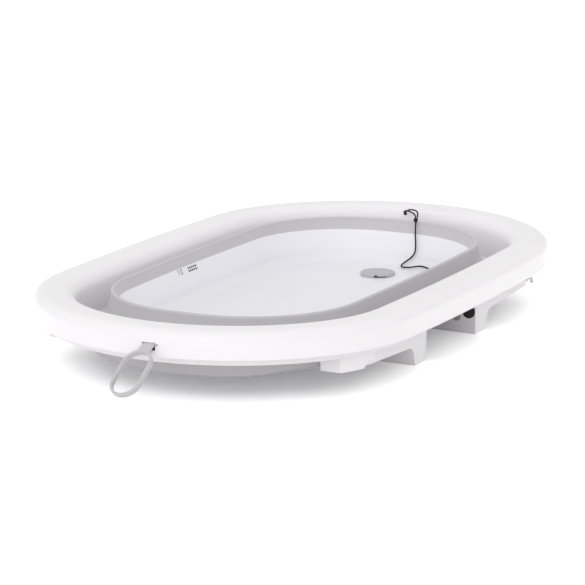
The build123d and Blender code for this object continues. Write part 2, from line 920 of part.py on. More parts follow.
def near_leg():
    """Near leg frame as one moulding: two side beams joined by a ribbed cross bar with two feet."""
    bar = box((-foot_outer - foot_lean, -foot_inner), (-beam_outer, beam_outer), (0, bar_top))
    bar = bar & extrude(Plane.XZ * beam_side(), beam_outer + overrun, both=True)
    frame = bar - bar_trough()
    for side in (-1, 1):
        frame = frame + leg_side(side) + foot_block(side)
    for side in (-1, 1):
        bore = cross_rod(
            -hinge_x,
            (side * (knuckle_inner - overrun), side * (knuckle_outer + overrun)),
            hinge_z,
            pin_radius + pin_running_gap,
        )
        pad_seat = sole_disc(
            pad_place(side), pad_radius + seat_clearance, pad_thickness - pad_proud, overrun
        )
        cap_seat = sole_disc(
            cap_place(side), cap_radius + seat_clearance, cap_thickness - cap_proud, overrun
        )
        frame = frame - bore - pad_seat - cap_seat
    return frame


def near_pads():
    """Black rubber pads of the near frame's soles."""
    return Compound(
        [sole_disc(pad_place(side), pad_radius, pad_thickness - pad_proud, pad_proud) for side in (-1, 1)]
    )


def near_caps():
    """Grey caps beside the rubber pads."""
    return Compound(
        [sole_disc(cap_place(side), cap_radius, cap_thickness - cap_proud, cap_proud) for side in (-1, 1)]
    )


def bracket_blank(start, end, outer, inner, z):
    """Block that follows the rim's outline between two insets, over a length and a range of heights."""
    depth = z[1] - z[0]
    band = extrude(outline_face(inset(rim_outline, outer), z[0]), depth) - extrude(
        outline_face(inset(rim_outline, inner), z[0]), depth
    )
    return band & box((-start, -end), (0, rim_width), z)


def bracket_screw_places():
    """Places of the two screws over each of the four hinge brackets."""
    places = []
    middle = bracket_inset + bracket_width / 2
    for share in (1 / 4, 3 / 4):
        x = hinge_x + bracket_overhang - bracket_length * share
        y = outline_y(inset(rim_outline, middle), x)
        for along in (-1, 1):
            for across in (1, -1):
                places.append((along * x, across * y))
    return places


def bracket_nose(end):
    """Cut that slopes and raises the lower edge of both cheeks towards the middle of the tub."""
    level = beam_bottom + bracket_nose_height
    start = end - bracket_nose_length
    profile = polygon(
        (start - bracket_nose_slope, beam_bottom - overrun),
        (start - bracket_nose_slope, beam_bottom),
        (start, level),
        (end + overrun, level),
        (end + overrun, beam_bottom - overrun),
    )
    return extrude(Plane.XZ * profile, rim_width, both=True)


def hinge_bracket():
    """Bracket of the near left hinge: two cheeks and an end wall under a solid roof."""
    start = hinge_x + bracket_overhang
    end = start - bracket_length
    outer = bracket_inset
    inner = bracket_inset + bracket_width
    block = bracket_blank(start, end, outer, inner, (beam_bottom, web_bottom))
    upright = block.edges().filter_by(Axis.Z).sort_by(Axis.X)[:2]
    block = fillet(upright, bracket_corner)
    slot_top = beam_top + bracket_roof_gap
    slot = bracket_blank(
        start - bracket_end_wall,
        end - overrun,
        outer + bracket_cheek,
        inner - bracket_inner_cheek,
        (beam_bottom - overrun, slot_top),
    )
    hollow = bracket_blank(
        start - bracket_end_wall,
        end + bracket_wall,
        outer + bracket_wall,
        inner - bracket_wall,
        (slot_top + bracket_roof, web_bottom + overrun),
    )
    for x, y in bracket_screw_places()[::4]:
        hollow = hollow - post(x, y, (slot_top, web_bottom + 2 * overrun), bracket_post_radius)
    block = block - slot - hollow - hinge_pin(pin_seat_gap) - bracket_nose(-end)
    for x, y in bracket_screw_places()[::4]:
        block = block - post(x, y, (web_bottom - overrun, web_bottom + overrun), screw_shank_radius)
    return block


def hinge_pin(grow):
    """Pin of the near left hinge, pushed through the inner cheek and sunk in the outer one."""
    low = outline_y(inset(rim_outline, bracket_inset + bracket_width), hinge_x + pin_radius)
    high = outline_y(outer_cheek_face, hinge_x + pin_radius) + pin_sink
    return cross_rod(-hinge_x, (low, high), hinge_z, pin_radius + grow)


def four_ways(solid):
    """Copies of a near left piece at the four corners, by name."""
    right = mirror(solid, about=Plane.XZ)
    return {
        "near_left": solid,
        "near_right": right,
        "far_left": mirror(solid, about=Plane.YZ),
        "far_right": mirror(right, about=Plane.YZ),
    }


def bracket_screws():
    """Screws down through the ring's web into the hinge brackets."""
    screws = []
    for x, y in bracket_screw_places():
        head = post(x, y, (web_top, web_top + screw_head_height), screw_head_radius)
        shank = post(
            x, y, (web_bottom - overrun + seat_clearance, web_top + screw_head_height / 2),
            screw_shank_radius - pin_seat_gap,
        )
        screws.append(head + shank)
    return Compound(screws)


def hanger():
    """Grey hanging loop: an eye round its pin, a strap and a long open loop."""
    loop_centre = -(hanger_strap_length + hanger_loop_length / 2)
    loop = extrude(SlotOverall(hanger_loop_length, hanger_loop_width), hanger_loop_depth / 2, both=True)
    hole = extrude(
        SlotOverall(hanger_loop_length - 2 * hanger_loop_wall, hanger_loop_width - 2 * hanger_loop_wall),
        hanger_loop_depth,
        both=True,
    )
    loop = Pos(loop_centre, 0, 0) * (loop - hole)
    strap = box(
        (-hanger_strap_length - hanger_loop_wall / 2, 0),
        (-hanger_strap_width / 2, hanger_strap_width / 2),
        (-hanger_strap_thickness / 2, hanger_strap_thickness / 2),
    )
    eye = cross_rod(0, (-hanger_strap_width / 2, hanger_strap_width / 2), 0, hanger_eye_radius)
    bore = cross_rod(0, (-hanger_strap_width, hanger_strap_width), 0, hanger_pin_radius + pin_running_gap)
    solid = loop + strap + eye - bore
    return Pos(hanger_axle_x, hanger_y, hanger_height) * Rot(0, -hanger_tilt, 0) * solid


def hanger_pin():
    """Pin between the ears of the rim, through the eye of the hanging loop."""
    reach = hanger_span() + lug_thickness
    return cross_rod(hanger_axle_x, (hanger_y - reach, hanger_y + reach), hanger_height, hanger_pin_radius)


# Route of the tether's long strand: over the crest, down the basin's end wall, round a kink at its foot,
# along the corner between wall and floor, and out on the floor behind the near wall.
cord_rest = tray_floor + cord_diameter / 2 + cord_gap
cord_route = [
    (351.0, 19.5, 87.0),
    (331.0, 3.5, 90.5),
    (311.0, -12.5, 92.0),
    (296.0, -21.0, 88.8),
    (285.0, -25.0, 73.0),
    (279.5, -28.5, 59.0),
    (275.0, -30.0, 47.5),
    (273.0, -23.5, 39.5),
    (270.0, -15.5, 33.8),
    (257.2, -16.0, 31.0),
    (257.5, -29.5, 31.0),
    (267.5, -40.5, 32.8),
    (263.5, -52.5, 32.2),
    (254.0, -64.0, cord_rest),
    (240.0, -74.0, cord_rest),
    (223.0, -80.0, cord_rest),
    (205.0, -80.0, cord_rest),
    (190.0, -73.0, cord_rest),
]
# Route of the short strand, from the rim to the knot over the crest.
loop_route = [
    (353.0, 15.5, 88.5),
    (334.0, -2.0, 92.5),
    (315.0, -15.5, 94.0),
    (298.5, -21.8, 91.0),
]


def bend_radii(points):
    """Largest even bend at each inner point of a route: 0.45 of the shorter run over the half turn's tangent."""
    radii = []
    for before, here, after in zip(points, points[1:], points[2:]):
        run_in = Vector(*here) - Vector(*before)
        run_out = Vector(*after) - Vector(*here)
        turn = radians(run_in.get_angle(run_out))
        radii.append(0.45 * min(run_in.length, run_out.length) / tan(turn / 2))
    return radii


def bend_middle(before, here, after):
    """Middle of the bend at a point of a route, and the direction of the cord there."""
    run_in = (Vector(*here) - Vector(*before)).normalized()
    run_out = (Vector(*after) - Vector(*here)).normalized()
    half_turn = radians(run_in.get_angle(run_out)) / 2
    radius = bend_radii([before, here, after])[0]
    inwards = (run_out - run_in).normalized()
    return Vector(*here) + inwards * radius * (1 / cos(half_turn) - 1), (run_in + run_out).normalized()


def tube(points, name):
    """Round cord along a route of straight runs joined by tangent bends."""
    radii = bend_radii(points)
    path = FilletPolyline(*points, radius=radii)
    start = Plane(origin=path @ 0, z_dir=path % 0)
    solid = sweep(start * Circle(cord_diameter / 2), path=path)
    expected = pi * cord_diameter**2 / 4 * path.length
    print(name, "length", round(path.length, 1), "volume share", round(solid.volume / expected, 4))
    print(name, "smallest bends", [round(radius, 1) for radius in sorted(radii)[:4]])
    return solid


def strand_start(side):
    """Two points of a strand, inside and outside its hole in the rim."""
    hole = shoulder_plane(cord_hole_inset, cord_hole_y)
    across = hole.y_dir * (side * cord_spacing / 2)
    return [tuple(hole.origin + across + hole.z_dir * along) for along in (-rim_wall, cord_lead)]


def tether_cord():
    """Long strand of the tether."""
    return tube(strand_start(1) + cord_route, "tether_cord")


def tether_loop():
    """Short strand of the tether, from the rim to the knot over the crest."""
    return tube(strand_start(-1) + loop_route, "tether_loop")


def tether_knots():
    """Knot that stops both strands inside the rim, knot that ties them over the crest, and end knot."""
    hole = shoulder_plane(cord_hole_inset, cord_hole_y)
    stop_place = hole.origin - hole.z_dir * (rim_wall + cord_gap + stop_knot_radius)
    stop_knot = Pos(*stop_place) * Sphere(stop_knot_radius)
    middle, along = bend_middle(*cord_route[2:5])
    bore = Cylinder(cord_diameter / 2 + cord_gap, 4 * crest_knot_radius)
    crest_knot = Plane(origin=middle, z_dir=along) * (Sphere(crest_knot_radius) - bore)
    last = Vector(*cord_route[-1])
    onward = (last - Vector(*cord_route[-2])).normalized() * end_knot_radius
    end_z = tray_floor + cord_gap + end_knot_radius
    end_knot = Pos(last.X + onward.X, last.Y + onward.Y, end_z) * Sphere(end_knot_radius)
    return Compound([stop_knot, crest_knot, end_knot])


def build():
    """Every piece by name."""
    pieces = {
        "rim_shell": rim_shell(),
        "rim_under_ring": rim_under_ring(),
        "ring_screws": ring_screws(),
        "bracket_screws": bracket_screws(),
        "wall_anchor_band": wall_anchor_band(),
        "wall_fold_band": wall_fold_band(),
        "wall_inner_band": wall_inner_band(),
        "tray": tray(),
        "drain_flange": drain_flange(),
        "drain_gasket": drain_gasket(),
        "drain_nut": drain_nut(),
        "drain_plug": drain_plug(),
        "plug_seal": plug_seal(),
        "near_leg_frame": near_leg(),
        "near_foot_pads": near_pads(),
        "near_foot_caps": near_caps(),
        "hanger": hanger(),
        "hanger_pin": hanger_pin(),
        "tether_cord": tether_cord(),
        "tether_loop": tether_loop(),
        "tether_knots": tether_knots(),
    }
    for name in ("leg_frame", "foot_pads", "foot_caps"):
        pieces["far_" + name] = mirror(pieces["near_" + name], about=Plane.YZ)
    for place, solid in four_ways(hinge_bracket()).items():
        pieces["hinge_bracket_" + place] = solid
    for place, solid in four_ways(hinge_pin(0)).items():
        pieces["hinge_pin_" + place] = solid
    return pieces


for name, solid in build().items():
    export_step(Pos(shift_x, 0, 0) * solid, f"parts/{name}.step")

print("object shifted along X by", round(shift_x, 3))
print("hinge at", round(hinge_x, 2), round(hinge_z, 2), "basin drop", round(2 * fold_depth, 1))
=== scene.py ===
import bmesh
import bpy
import numpy as np
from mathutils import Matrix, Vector


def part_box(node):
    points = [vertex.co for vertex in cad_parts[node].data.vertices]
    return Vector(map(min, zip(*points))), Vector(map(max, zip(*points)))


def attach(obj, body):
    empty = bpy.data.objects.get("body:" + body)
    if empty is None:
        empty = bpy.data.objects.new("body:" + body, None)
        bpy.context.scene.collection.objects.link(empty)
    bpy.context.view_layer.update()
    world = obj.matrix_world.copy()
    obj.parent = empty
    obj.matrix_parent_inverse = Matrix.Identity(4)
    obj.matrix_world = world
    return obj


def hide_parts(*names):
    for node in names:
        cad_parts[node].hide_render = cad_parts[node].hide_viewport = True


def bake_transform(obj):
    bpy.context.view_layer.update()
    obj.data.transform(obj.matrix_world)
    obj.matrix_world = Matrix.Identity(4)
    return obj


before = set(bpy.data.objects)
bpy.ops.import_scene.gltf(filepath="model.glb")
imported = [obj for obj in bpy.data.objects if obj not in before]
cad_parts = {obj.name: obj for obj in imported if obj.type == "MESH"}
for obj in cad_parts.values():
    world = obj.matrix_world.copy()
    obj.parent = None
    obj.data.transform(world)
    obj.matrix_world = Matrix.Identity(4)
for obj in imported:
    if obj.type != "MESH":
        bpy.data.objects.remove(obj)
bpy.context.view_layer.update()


# Camera and room
# The tub lies on a plain white floor, seen from low beside its near end. One broad soft light stands over
# that end, and the room round it is bright at the horizon and dimmer overhead.
tray_low, tray_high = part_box("tray")
middle_x = (tray_low[0] + tray_high[0]) / 2
camera_place = Vector((middle_x - 3.2718, -1.6642, 0.8867))
camera_backwards = Vector((-0.871, -0.443, 0.213))
camera_data = bpy.data.cameras.new("camera")
camera_data.sensor_width = 36.0
camera_data.lens = 185.34
camera_data.shift_x = -0.01467
camera_data.shift_y = -0.05304
camera_data.clip_end = 60.0
camera = bpy.data.objects.new("camera", camera_data)
camera.location = camera_place
camera.rotation_euler = camera_backwards.to_track_quat("Z", "Y").to_euler()
bpy.context.scene.collection.objects.link(camera)
bpy.context.scene.camera = camera
bpy.context.scene.view_settings.view_transform = "Standard"


def paint(red, green, blue):
    """Linear colour of a paint given as it looks on a screen, from 0 to 1: the sRGB curve undone."""
    seen = np.array([red, green, blue])
    linear = np.where(seen <= 0.04045, seen / 12.92, ((seen + 0.055) / 1.055) ** 2.4)
    return (*linear.tolist(), 1.0)


def new_material(name, colour, roughness):
    """Material with one Principled shader, and that shader."""
    material = bpy.data.materials.new(name)
    material.use_nodes = True
    shader = material.node_tree.nodes["Principled BSDF"]
    shader.inputs["Base Color"].default_value = colour
    shader.inputs["Roughness"].default_value = roughness
    return material, shader


def add_lamp(name, place, spread, strength):
    """Far soft light from the side of a place, as wide in the sky as its spread in degrees. It reaches the
    whole floor evenly."""
    data = bpy.data.lights.new(name, "SUN")
    data.energy = strength
    data.angle = np.radians(spread)
    lamp = bpy.data.objects.new(name, data)
    lamp.location = place
    lamp.rotation_euler = Vector(place).to_track_quat("Z", "Y").to_euler()
    bpy.context.scene.collection.objects.link(lamp)


def piece_from(name, points, faces):
    """Piece from an array of points and a list of faces, turned so that its faces point outwards.
    The sign is that of the enclosed volume, the sum of each face's area vector times its place."""
    mesh = bpy.data.meshes.new(name)
    mesh.from_pydata(points.tolist(), [], faces)
    mesh.update()
    normals = np.empty(len(mesh.polygons) * 3)
    centres = np.empty(len(mesh.polygons) * 3)
    areas = np.empty(len(mesh.polygons))
    mesh.polygons.foreach_get("normal", normals)
    mesh.polygons.foreach_get("center", centres)
    mesh.polygons.foreach_get("area", areas)
    flow = (normals.reshape(-1, 3) * centres.reshape(-1, 3)).sum(axis=1)
    if (flow * areas).sum() < 0:
        mesh.flip_normals()
    mesh.polygons.foreach_set("use_smooth", np.ones(len(mesh.polygons), bool))
    piece = bpy.data.objects.new(name, mesh)
    bpy.context.scene.collection.objects.link(piece)
    return piece


def for_eye(tree, plain, bright, output):
    """Gives an output one shader for the light on the tub and another for rays that end in the camera, also
    through glass or off a gloss: the mask is the largest of the three marks of the light path."""
    path = tree.nodes.new("ShaderNodeLightPath")
    mask = path.outputs["Is Camera Ray"]
    for mark in ("Is Transmission Ray", "Is Glossy Ray"):
        larger = tree.nodes.new("ShaderNodeMath")
        larger.operation = "MAXIMUM"
        tree.links.new(mask, larger.inputs[0])
        tree.links.new(path.outputs[mark], larger.inputs[1])
        mask = larger.outputs[0]
    mix = tree.nodes.new("ShaderNodeMixShader")
    tree.links.new(mask, mix.inputs[0])
    tree.links.new(plain.outputs[0], mix.inputs[1])
    tree.links.new(bright.outputs[0], mix.inputs[2])
    tree.links.new(mix.outputs[0], tree.nodes[output].inputs["Surface"])


floor_reach = 12.0
floor_points = np.array([[-1, -1, 0], [1, -1, 0], [1, 1, 0], [-1, 1, 0]]) * floor_reach
floor = piece_from("floor", floor_points, [(0, 1, 2, 3)])
floor_material, floor_shader = new_material("floor_white", paint(0.97, 0.97, 0.97), 0.6)
# The camera also sees a little more white and a faint glow on the floor, which still keeps its shadow.
floor_nodes, floor_links = floor_material.node_tree.nodes, floor_material.node_tree.links
floor_extra = floor_nodes.new("ShaderNodeBsdfDiffuse")
floor_extra.inputs["Color"].default_value = (0.6, 0.6, 0.6, 1.0)
floor_glow = floor_nodes.new("ShaderNodeEmission")
floor_glow.inputs["Strength"].default_value = 0.13
floor_bright = floor_shader
for addition in (floor_extra, floor_glow):
    total = floor_nodes.new("ShaderNodeAddShader")
    floor_links.new(floor_bright.outputs[0], total.inputs[0])
    floor_links.new(addition.outputs[0], total.inputs[1])
    floor_bright = total
for_eye(floor_material.node_tree, floor_shader, floor_bright, "Material Output")
floor.data.materials.append(floor_material)

add_lamp("soft_front", place=(-2.1, -0.1, 1.0), spread=60.0, strength=0.48)

world = bpy.data.worlds.new("room")
bpy.context.scene.world = world
world.use_nodes = True
room = world.node_tree
background = room.nodes["Background"]
background.inputs["Color"].default_value = (1.0, 1.0, 1.0, 1.0)
horizon_level, overhead_level = 1.08, 0.82
sky_place = room.nodes.new("ShaderNodeTexCoord")
sky_parts = room.nodes.new("ShaderNodeSeparateXYZ")
sky_level = room.nodes.new("ShaderNodeMapRange")
sky_level.inputs["From Min"].default_value = 0.0
sky_level.inputs["From Max"].default_value = 1.0
sky_level.inputs["To Min"].default_value = horizon_level
sky_level.inputs["To Max"].default_value = overhead_level
room.links.new(sky_place.outputs["Generated"], sky_parts.inputs[0])
room.links.new(sky_parts.outputs["Z"], sky_level.inputs["Value"])
room.links.new(sky_level.outputs["Result"], background.inputs["Strength"])
bright = room.nodes.new("ShaderNodeBackground")
bright.inputs["Strength"].default_value = 1.0
for_eye(room, background, bright, "World Output")


# Rim
# A hollow white polypropylene moulding, open below, with an upright skirt, a rounded crown and a sloping
# inner wall whose thin foot covers the soft wall's edge. A shallow oval soap dish is pressed into it at the
# drain end.
rim_length = 0.820
rim_width = 0.4876
rim_end_radius = 0.249
rim_corner_radius = 0.203
rim_side_radius = 4.830
rim_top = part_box("rim_shell")[1][2]
skirt_bottom = rim_top - 0.0325
rim_bottom = rim_top - 0.048
rim_wall = 0.003
rim_crown = 0.050
rim_band = 0.056
rim_draft = 0.001
outer_rounding = 0.014
inner_rounding = 0.020
edge_rounding = 0.0007
foot_wall = 0.0006
foot_inset = rim_band + 0.0042
foot_bottom = rim_bottom - 0.0062
foot_rounding = 0.0028
rim_step = 0.0021


def arcs_of(length, width, end_radius, corner_radius, side_radius):
    """Plan outline as eight tangent arcs (centre x, centre y, radius, from, to). The corner arc's centre
    lies where circles round the end's and the side's centres meet, each with the difference of radii."""
    end_x = length / 2 - end_radius
    side_y = width / 2 - side_radius
    near, far = end_radius - corner_radius, side_radius - corner_radius
    apart = np.hypot(end_x, side_y)
    along = (near**2 - far**2 + apart**2) / (2 * apart)
    across = np.sqrt(near**2 - along**2)
    towards = np.array([-end_x, side_y]) / apart
    corner = np.array([end_x, 0]) + towards * along + np.array([-towards[1], towards[0]]) * across
    t1 = np.arctan2(corner[1], corner[0] - end_x)
    t2 = np.arctan2(corner[1] - side_y, corner[0])
    x, y = corner
    pi = np.pi
    return [
        (end_x, 0, end_radius, -t1, t1),
        (x, y, corner_radius, t1, t2),
        (0, side_y, side_radius, t2, pi - t2),
        (-x, y, corner_radius, pi - t2, pi - t1),
        (-end_x, 0, end_radius, pi - t1, pi + t1),
        (-x, -y, corner_radius, pi + t1, pi + t2),
        (0, -side_y, side_radius, pi + t2, 2 * pi - t2),
        (x, -y, corner_radius, 2 * pi - t2, 2 * pi - t1),
    ]


def walk(arcs, counts):
    """Points round an outline as rows (centre x, centre y, radius, direction x, direction y), with a given
    number of equal steps in each arc. A point at inset d is centre + (radius - d) x direction."""
    rows = []
    for (x, y, radius, start, end), count in zip(arcs, counts):
        angle = np.linspace(start, end, count, endpoint=False)
        same = np.ones(count)
        rows.append(np.stack([x * same, y * same, radius * same, np.cos(angle), np.sin(angle)], axis=1))
    return np.concatenate(rows)


def rounded_line(corners, radii, step, closed=True):
    """Line through corners, each rounded by an arc that starts radius x tan(half the turn) before the
    corner and is sampled in equal angles. Straight runs are filled with points one step apart."""
    corners = np.array(corners, float)
    count = len(corners)
    points = []
    for k in range(count):
        here = corners[k]
        if not closed and k in (0, count - 1):
            points.append(here[None])
            continue
        back = corners[k - 1] - here
        on = corners[(k + 1) % count] - here
        back, on = back / np.linalg.norm(back), on / np.linalg.norm(on)
        half = np.arccos(np.clip(back @ on, -1, 1)) / 2
        if radii[k] == 0:
            points.append(here[None])
            continue
        middle = here + (back + on) / np.linalg.norm(back + on) * radii[k] / np.sin(half)
        first = here + back * radii[k] / np.tan(half) - middle
        last = here + on * radii[k] / np.tan(half) - middle
        start = np.arctan2(first[1], first[0])
        turn = (np.arctan2(last[1], last[0]) - start + np.pi) % (2 * np.pi) - np.pi
        steps = max(3, int(np.ceil(abs(turn) * radii[k] / step)))
        angle = start + turn * np.linspace(0, 1, steps + 1)
        points.append(middle + radii[k] * np.stack([np.cos(angle), np.sin(angle)], axis=1))
    line = np.concatenate(points)
    ends = np.roll(line, -1, axis=0) if closed else line[1:]
    starts = line if closed else line[:-1]
    filled = []
    for a, b in zip(starts, ends):
        pieces = max(1, int(np.ceil(np.linalg.norm(b - a) / step)))
        filled.append(a + (b - a) * (np.arange(pieces) / pieces)[:, None])
    if not closed:
        filled.append(line[-1:])
    return np.concatenate(filled)


def ring_points(places, profile):
    """Grid of points round the tub: profile point (d, z) stands d inside the outline at height z."""
    reach = places[:, None, 2] - profile[None, :, 0]
    x = middle_x + places[:, None, 0] + reach * places[:, None, 3]
    y = places[:, None, 1] + reach * places[:, None, 4]
    z = np.broadcast_to(profile[None, :, 1], x.shape)
    return np.stack([x, y, z], axis=2)


def grid_faces(rows, columns, wrap_rows=True, wrap_columns=True):
    """Four-cornered faces of a grid, whose last row joins its first one and whose last column joins its
    first one unless told otherwise."""
    index = np.arange(rows * columns).reshape(rows, columns)
    right = np.roll(index, -1, axis=1)
    up = np.roll(index, -1, axis=0)
    corner = np.roll(right, -1, axis=0)
    faces = np.stack([index, up, corner, right], axis=2)
    if not wrap_rows:
        faces = faces[:-1]
    if not wrap_columns:
        faces = faces[:, :-1]
    return faces.reshape(-1, 4).tolist()


def poled_faces(rows, columns):
    """Faces of a grid whose rows close on themselves and whose first and last columns are each drawn to
    one point: those two points follow the grid's, and each gets a fan of triangles."""
    start = np.arange(rows) * columns
    after = np.roll(start, -1)
    first_pole = np.full(rows, rows * columns)
    first_fan = np.stack([first_pole, after, start], axis=1)
    last_fan = np.stack([first_pole + 1, start + columns - 1, after + columns - 1], axis=1)
    fans = np.stack([first_fan, last_fan], axis=1).reshape(-1, 3)
    return grid_faces(rows, columns, wrap_columns=False) + fans.tolist()


def finished(piece, material, crease=35.0):
    """Gives a piece its material, and a crisp edge wherever two faces meet at more than a crease angle."""
    piece.data.materials.clear()
    piece.data.materials.append(material)
    piece.data.set_sharp_from_angle(angle=np.radians(crease))
    return piece


def combined(piece, operation, *others):
    """Cuts closed shapes out of a piece (DIFFERENCE), or joins them to it as one moulding (UNION), and
    removes them."""
    for other in others:
        change = piece.modifiers.new("change", "BOOLEAN")
        change.operation = operation
        change.solver = "EXACT"
        change.object = other
    bpy.context.view_layer.update()
    graph = bpy.context.evaluated_depsgraph_get()
    mesh = bpy.data.meshes.new_from_object(piece.evaluated_get(graph))
    piece.modifiers.clear()
    old = piece.data
    piece.data = mesh
    bpy.data.meshes.remove(old)
    for other in others:
        bpy.data.meshes.remove(other.data)


def block(name, low, high, origin=(0, 0, 0), axes=np.eye(3)):
    """Plain box between two corners, used as a cutter or as a thin rib. Its corners are counted from an
    origin along three axes, given as rows."""
    low, high = np.array(low), np.array(high)
    square = np.array([[0, 0, 0], [1, 0, 0], [1, 1, 0], [0, 1, 0]])
    unit = np.concatenate([square, square + [0, 0, 1]])
    faces = [(0, 3, 2, 1), (4, 5, 6, 7), (0, 1, 5, 4), (1, 2, 6, 5), (2, 3, 7, 6), (3, 0, 4, 7)]
    return piece_from(name, origin + (low + unit * (high - low)) @ axes, faces)


def turned(name, profile, place, along, steps):
    """Solid turned round an axis: profile point (r, h) goes round at radius r and height h along it.
    Both ends of the profile lie on the axis and become a single point each."""
    axis = Vector(along).normalized()
    side = axis.orthogonal().normalized()
    third = axis.cross(side)
    profile = np.array(profile, float)
    angle = np.linspace(0, 2 * np.pi, steps, endpoint=False)
    ring = np.cos(angle)[:, None] * np.array(side) + np.sin(angle)[:, None] * np.array(third)
    middle = profile[1:-1]
    points = np.array(place) + (
        ring[:, None, :] * middle[None, :, 0, None] + np.array(axis) * middle[None, :, 1, None]
    )
    ends = np.array(place) + np.array(axis) * profile[[0, -1], 1][:, None]
    return piece_from(name, np.concatenate([points.reshape(-1, 3), ends]), poled_faces(steps, len(middle)))


def plastic_group():
    """Node group of moulded plastic: slow cloudy variation of tone, and the fine waviness of its skin."""
    group = bpy.data.node_groups.new("moulded_skin", "ShaderNodeTree")
    sockets = group.interface
    for name, value in (("Cloud Scale", 6.0), ("Grain Scale", 900.0), ("Grain Share", 0.5)):
        socket = sockets.new_socket(name, in_out="INPUT", socket_type="NodeSocketFloat")
        socket.default_value = value
    sockets.new_socket("Cloud", in_out="OUTPUT", socket_type="NodeSocketFloat")
    sockets.new_socket("Height", in_out="OUTPUT", socket_type="NodeSocketFloat")
    nodes, links = group.nodes, group.links
    entry = nodes.new("NodeGroupInput")
    leave = nodes.new("NodeGroupOutput")
    place = nodes.new("ShaderNodeTexCoord")
    cloud = nodes.new("ShaderNodeTexNoise")
    cloud.inputs["Detail"].default_value = 4.0
    wave = nodes.new("ShaderNodeTexNoise")
    wave.inputs["Scale"].default_value = 60.0
    wave.inputs["Detail"].default_value = 1.0
    grain = nodes.new("ShaderNodeTexNoise")
    grain.inputs["Detail"].default_value = 3.0
    height = nodes.new("ShaderNodeMix")
    height.data_type = "FLOAT"
    for noise in (cloud, wave, grain):
        links.new(place.outputs["Object"], noise.inputs["Vector"])
    links.new(entry.outputs["Cloud Scale"], cloud.inputs["Scale"])
    links.new(entry.outputs["Grain Scale"], grain.inputs["Scale"])
    links.new(entry.outputs["Grain Share"], height.inputs["Factor"])
    links.new(wave.outputs["Fac"], height.inputs["A"])
    links.new(grain.outputs["Fac"], height.inputs["B"])
    links.new(cloud.outputs["Fac"], leave.inputs["Cloud"])
    links.new(height.outputs["Result"], leave.inputs["Height"])
    return group


moulded_skin = plastic_group()


def moulded(name, light, dark, roughness, spread, bump, grain_scale, grain_share):
    """Moulded plastic or rubber, and with other values zinc, ink or cord: the colour drifts between two
    near tones and the roughness round a value, and fine waviness and grain lift the surface."""
    material, shader = new_material(name, light, roughness)
    nodes, links = material.node_tree.nodes, material.node_tree.links
    skin = nodes.new("ShaderNodeGroup")
    skin.node_tree = moulded_skin
    skin.inputs["Grain Scale"].default_value = grain_scale
    skin.inputs["Grain Share"].default_value = grain_share
    tone = nodes.new("ShaderNodeMix")
    tone.data_type = "RGBA"
    tone.inputs["A"].default_value = dark
    tone.inputs["B"].default_value = light
    links.new(skin.outputs["Cloud"], tone.inputs["Factor"])
    links.new(tone.outputs["Result"], shader.inputs["Base Color"])
    gloss = nodes.new("ShaderNodeMapRange")
    gloss.inputs["From Min"].default_value = 0.3
    gloss.inputs["From Max"].default_value = 0.7
    gloss.inputs["To Min"].default_value = roughness - spread
    gloss.inputs["To Max"].default_value = roughness + spread
    links.new(skin.outputs["Cloud"], gloss.inputs["Value"])
    links.new(gloss.outputs["Result"], shader.inputs["Roughness"])
    lift = nodes.new("ShaderNodeBump")
    lift.inputs["Strength"].default_value = bump
    lift.inputs["Distance"].default_value = 0.0002
    links.new(skin.outputs["Height"], lift.inputs["Height"])
    links.new(lift.outputs["Normal"], shader.inputs["Normal"])
    return material


rim_white = moulded(
    "rim_white",
    light=paint(0.958, 0.951, 0.957),
    dark=paint(0.943, 0.936, 0.942),
    roughness=0.30,
    spread=0.04,
    bump=0.10,
    grain_scale=700.0,
    grain_share=0.3,
)

slope = (rim_band - rim_crown) / (rim_top - rim_bottom)
level_wall = rim_wall * np.hypot(1, slope)
inner_crown = rim_band - level_wall - (rim_top - rim_bottom - rim_wall) * slope
rim_profile = rounded_line(
    [
        (0, skirt_bottom),
        (rim_draft, rim_top),
        (rim_crown, rim_top),
        (rim_band, rim_bottom),
        (foot_inset, foot_bottom),
        (foot_inset - foot_wall, foot_bottom),
        (rim_band - foot_wall, rim_bottom),
        (rim_band - level_wall, rim_bottom),
        (inner_crown, rim_top - rim_wall),
        (rim_draft + rim_wall, rim_top - rim_wall),
        (rim_wall, skirt_bottom),
    ],
    [
        edge_rounding,
        outer_rounding,
        inner_rounding,
        foot_rounding,
        0,
        0,
        0,
        edge_rounding,
        inner_rounding - rim_wall,
        outer_rounding - rim_wall,
        edge_rounding,
    ],
    rim_step,
)
rim_arcs = arcs_of(rim_length, rim_width, rim_end_radius, rim_corner_radius, rim_side_radius)

dish_length = 0.090
dish_width = 0.018
dish_inset = 0.038
dish_y = -0.010
dish_depth = 0.0050
dish_edge = 0.2
dish_margin = 0.0015
end_arc_x, _, end_arc_radius, end_from, end_to = rim_arcs[0]
dish_reach = end_arc_radius - dish_inset
dish_from = (dish_y - dish_length / 2 - dish_margin) / dish_reach
dish_to = (dish_y + dish_length / 2 + dish_margin) / dish_reach


def finer(line, low, high, pieces):
    """Closed line with each run of its first half, the outer skin, split in equal pieces where it lies
    between two insets."""
    parts = []
    for k, (a, b) in enumerate(zip(line, np.roll(line, -1, axis=0))):
        inside = k < len(line) / 2 and low < min(a[0], b[0]) and max(a[0], b[0]) < high
        count = pieces if inside else 1
        parts.append(a + (b - a) * (np.arange(count) / count)[:, None])
    return np.concatenate(parts)


dish_reach_out = dish_width / 2 + 2 * dish_margin
rim_profile = finer(rim_profile, dish_inset - dish_reach_out, dish_inset + dish_reach_out, 3)
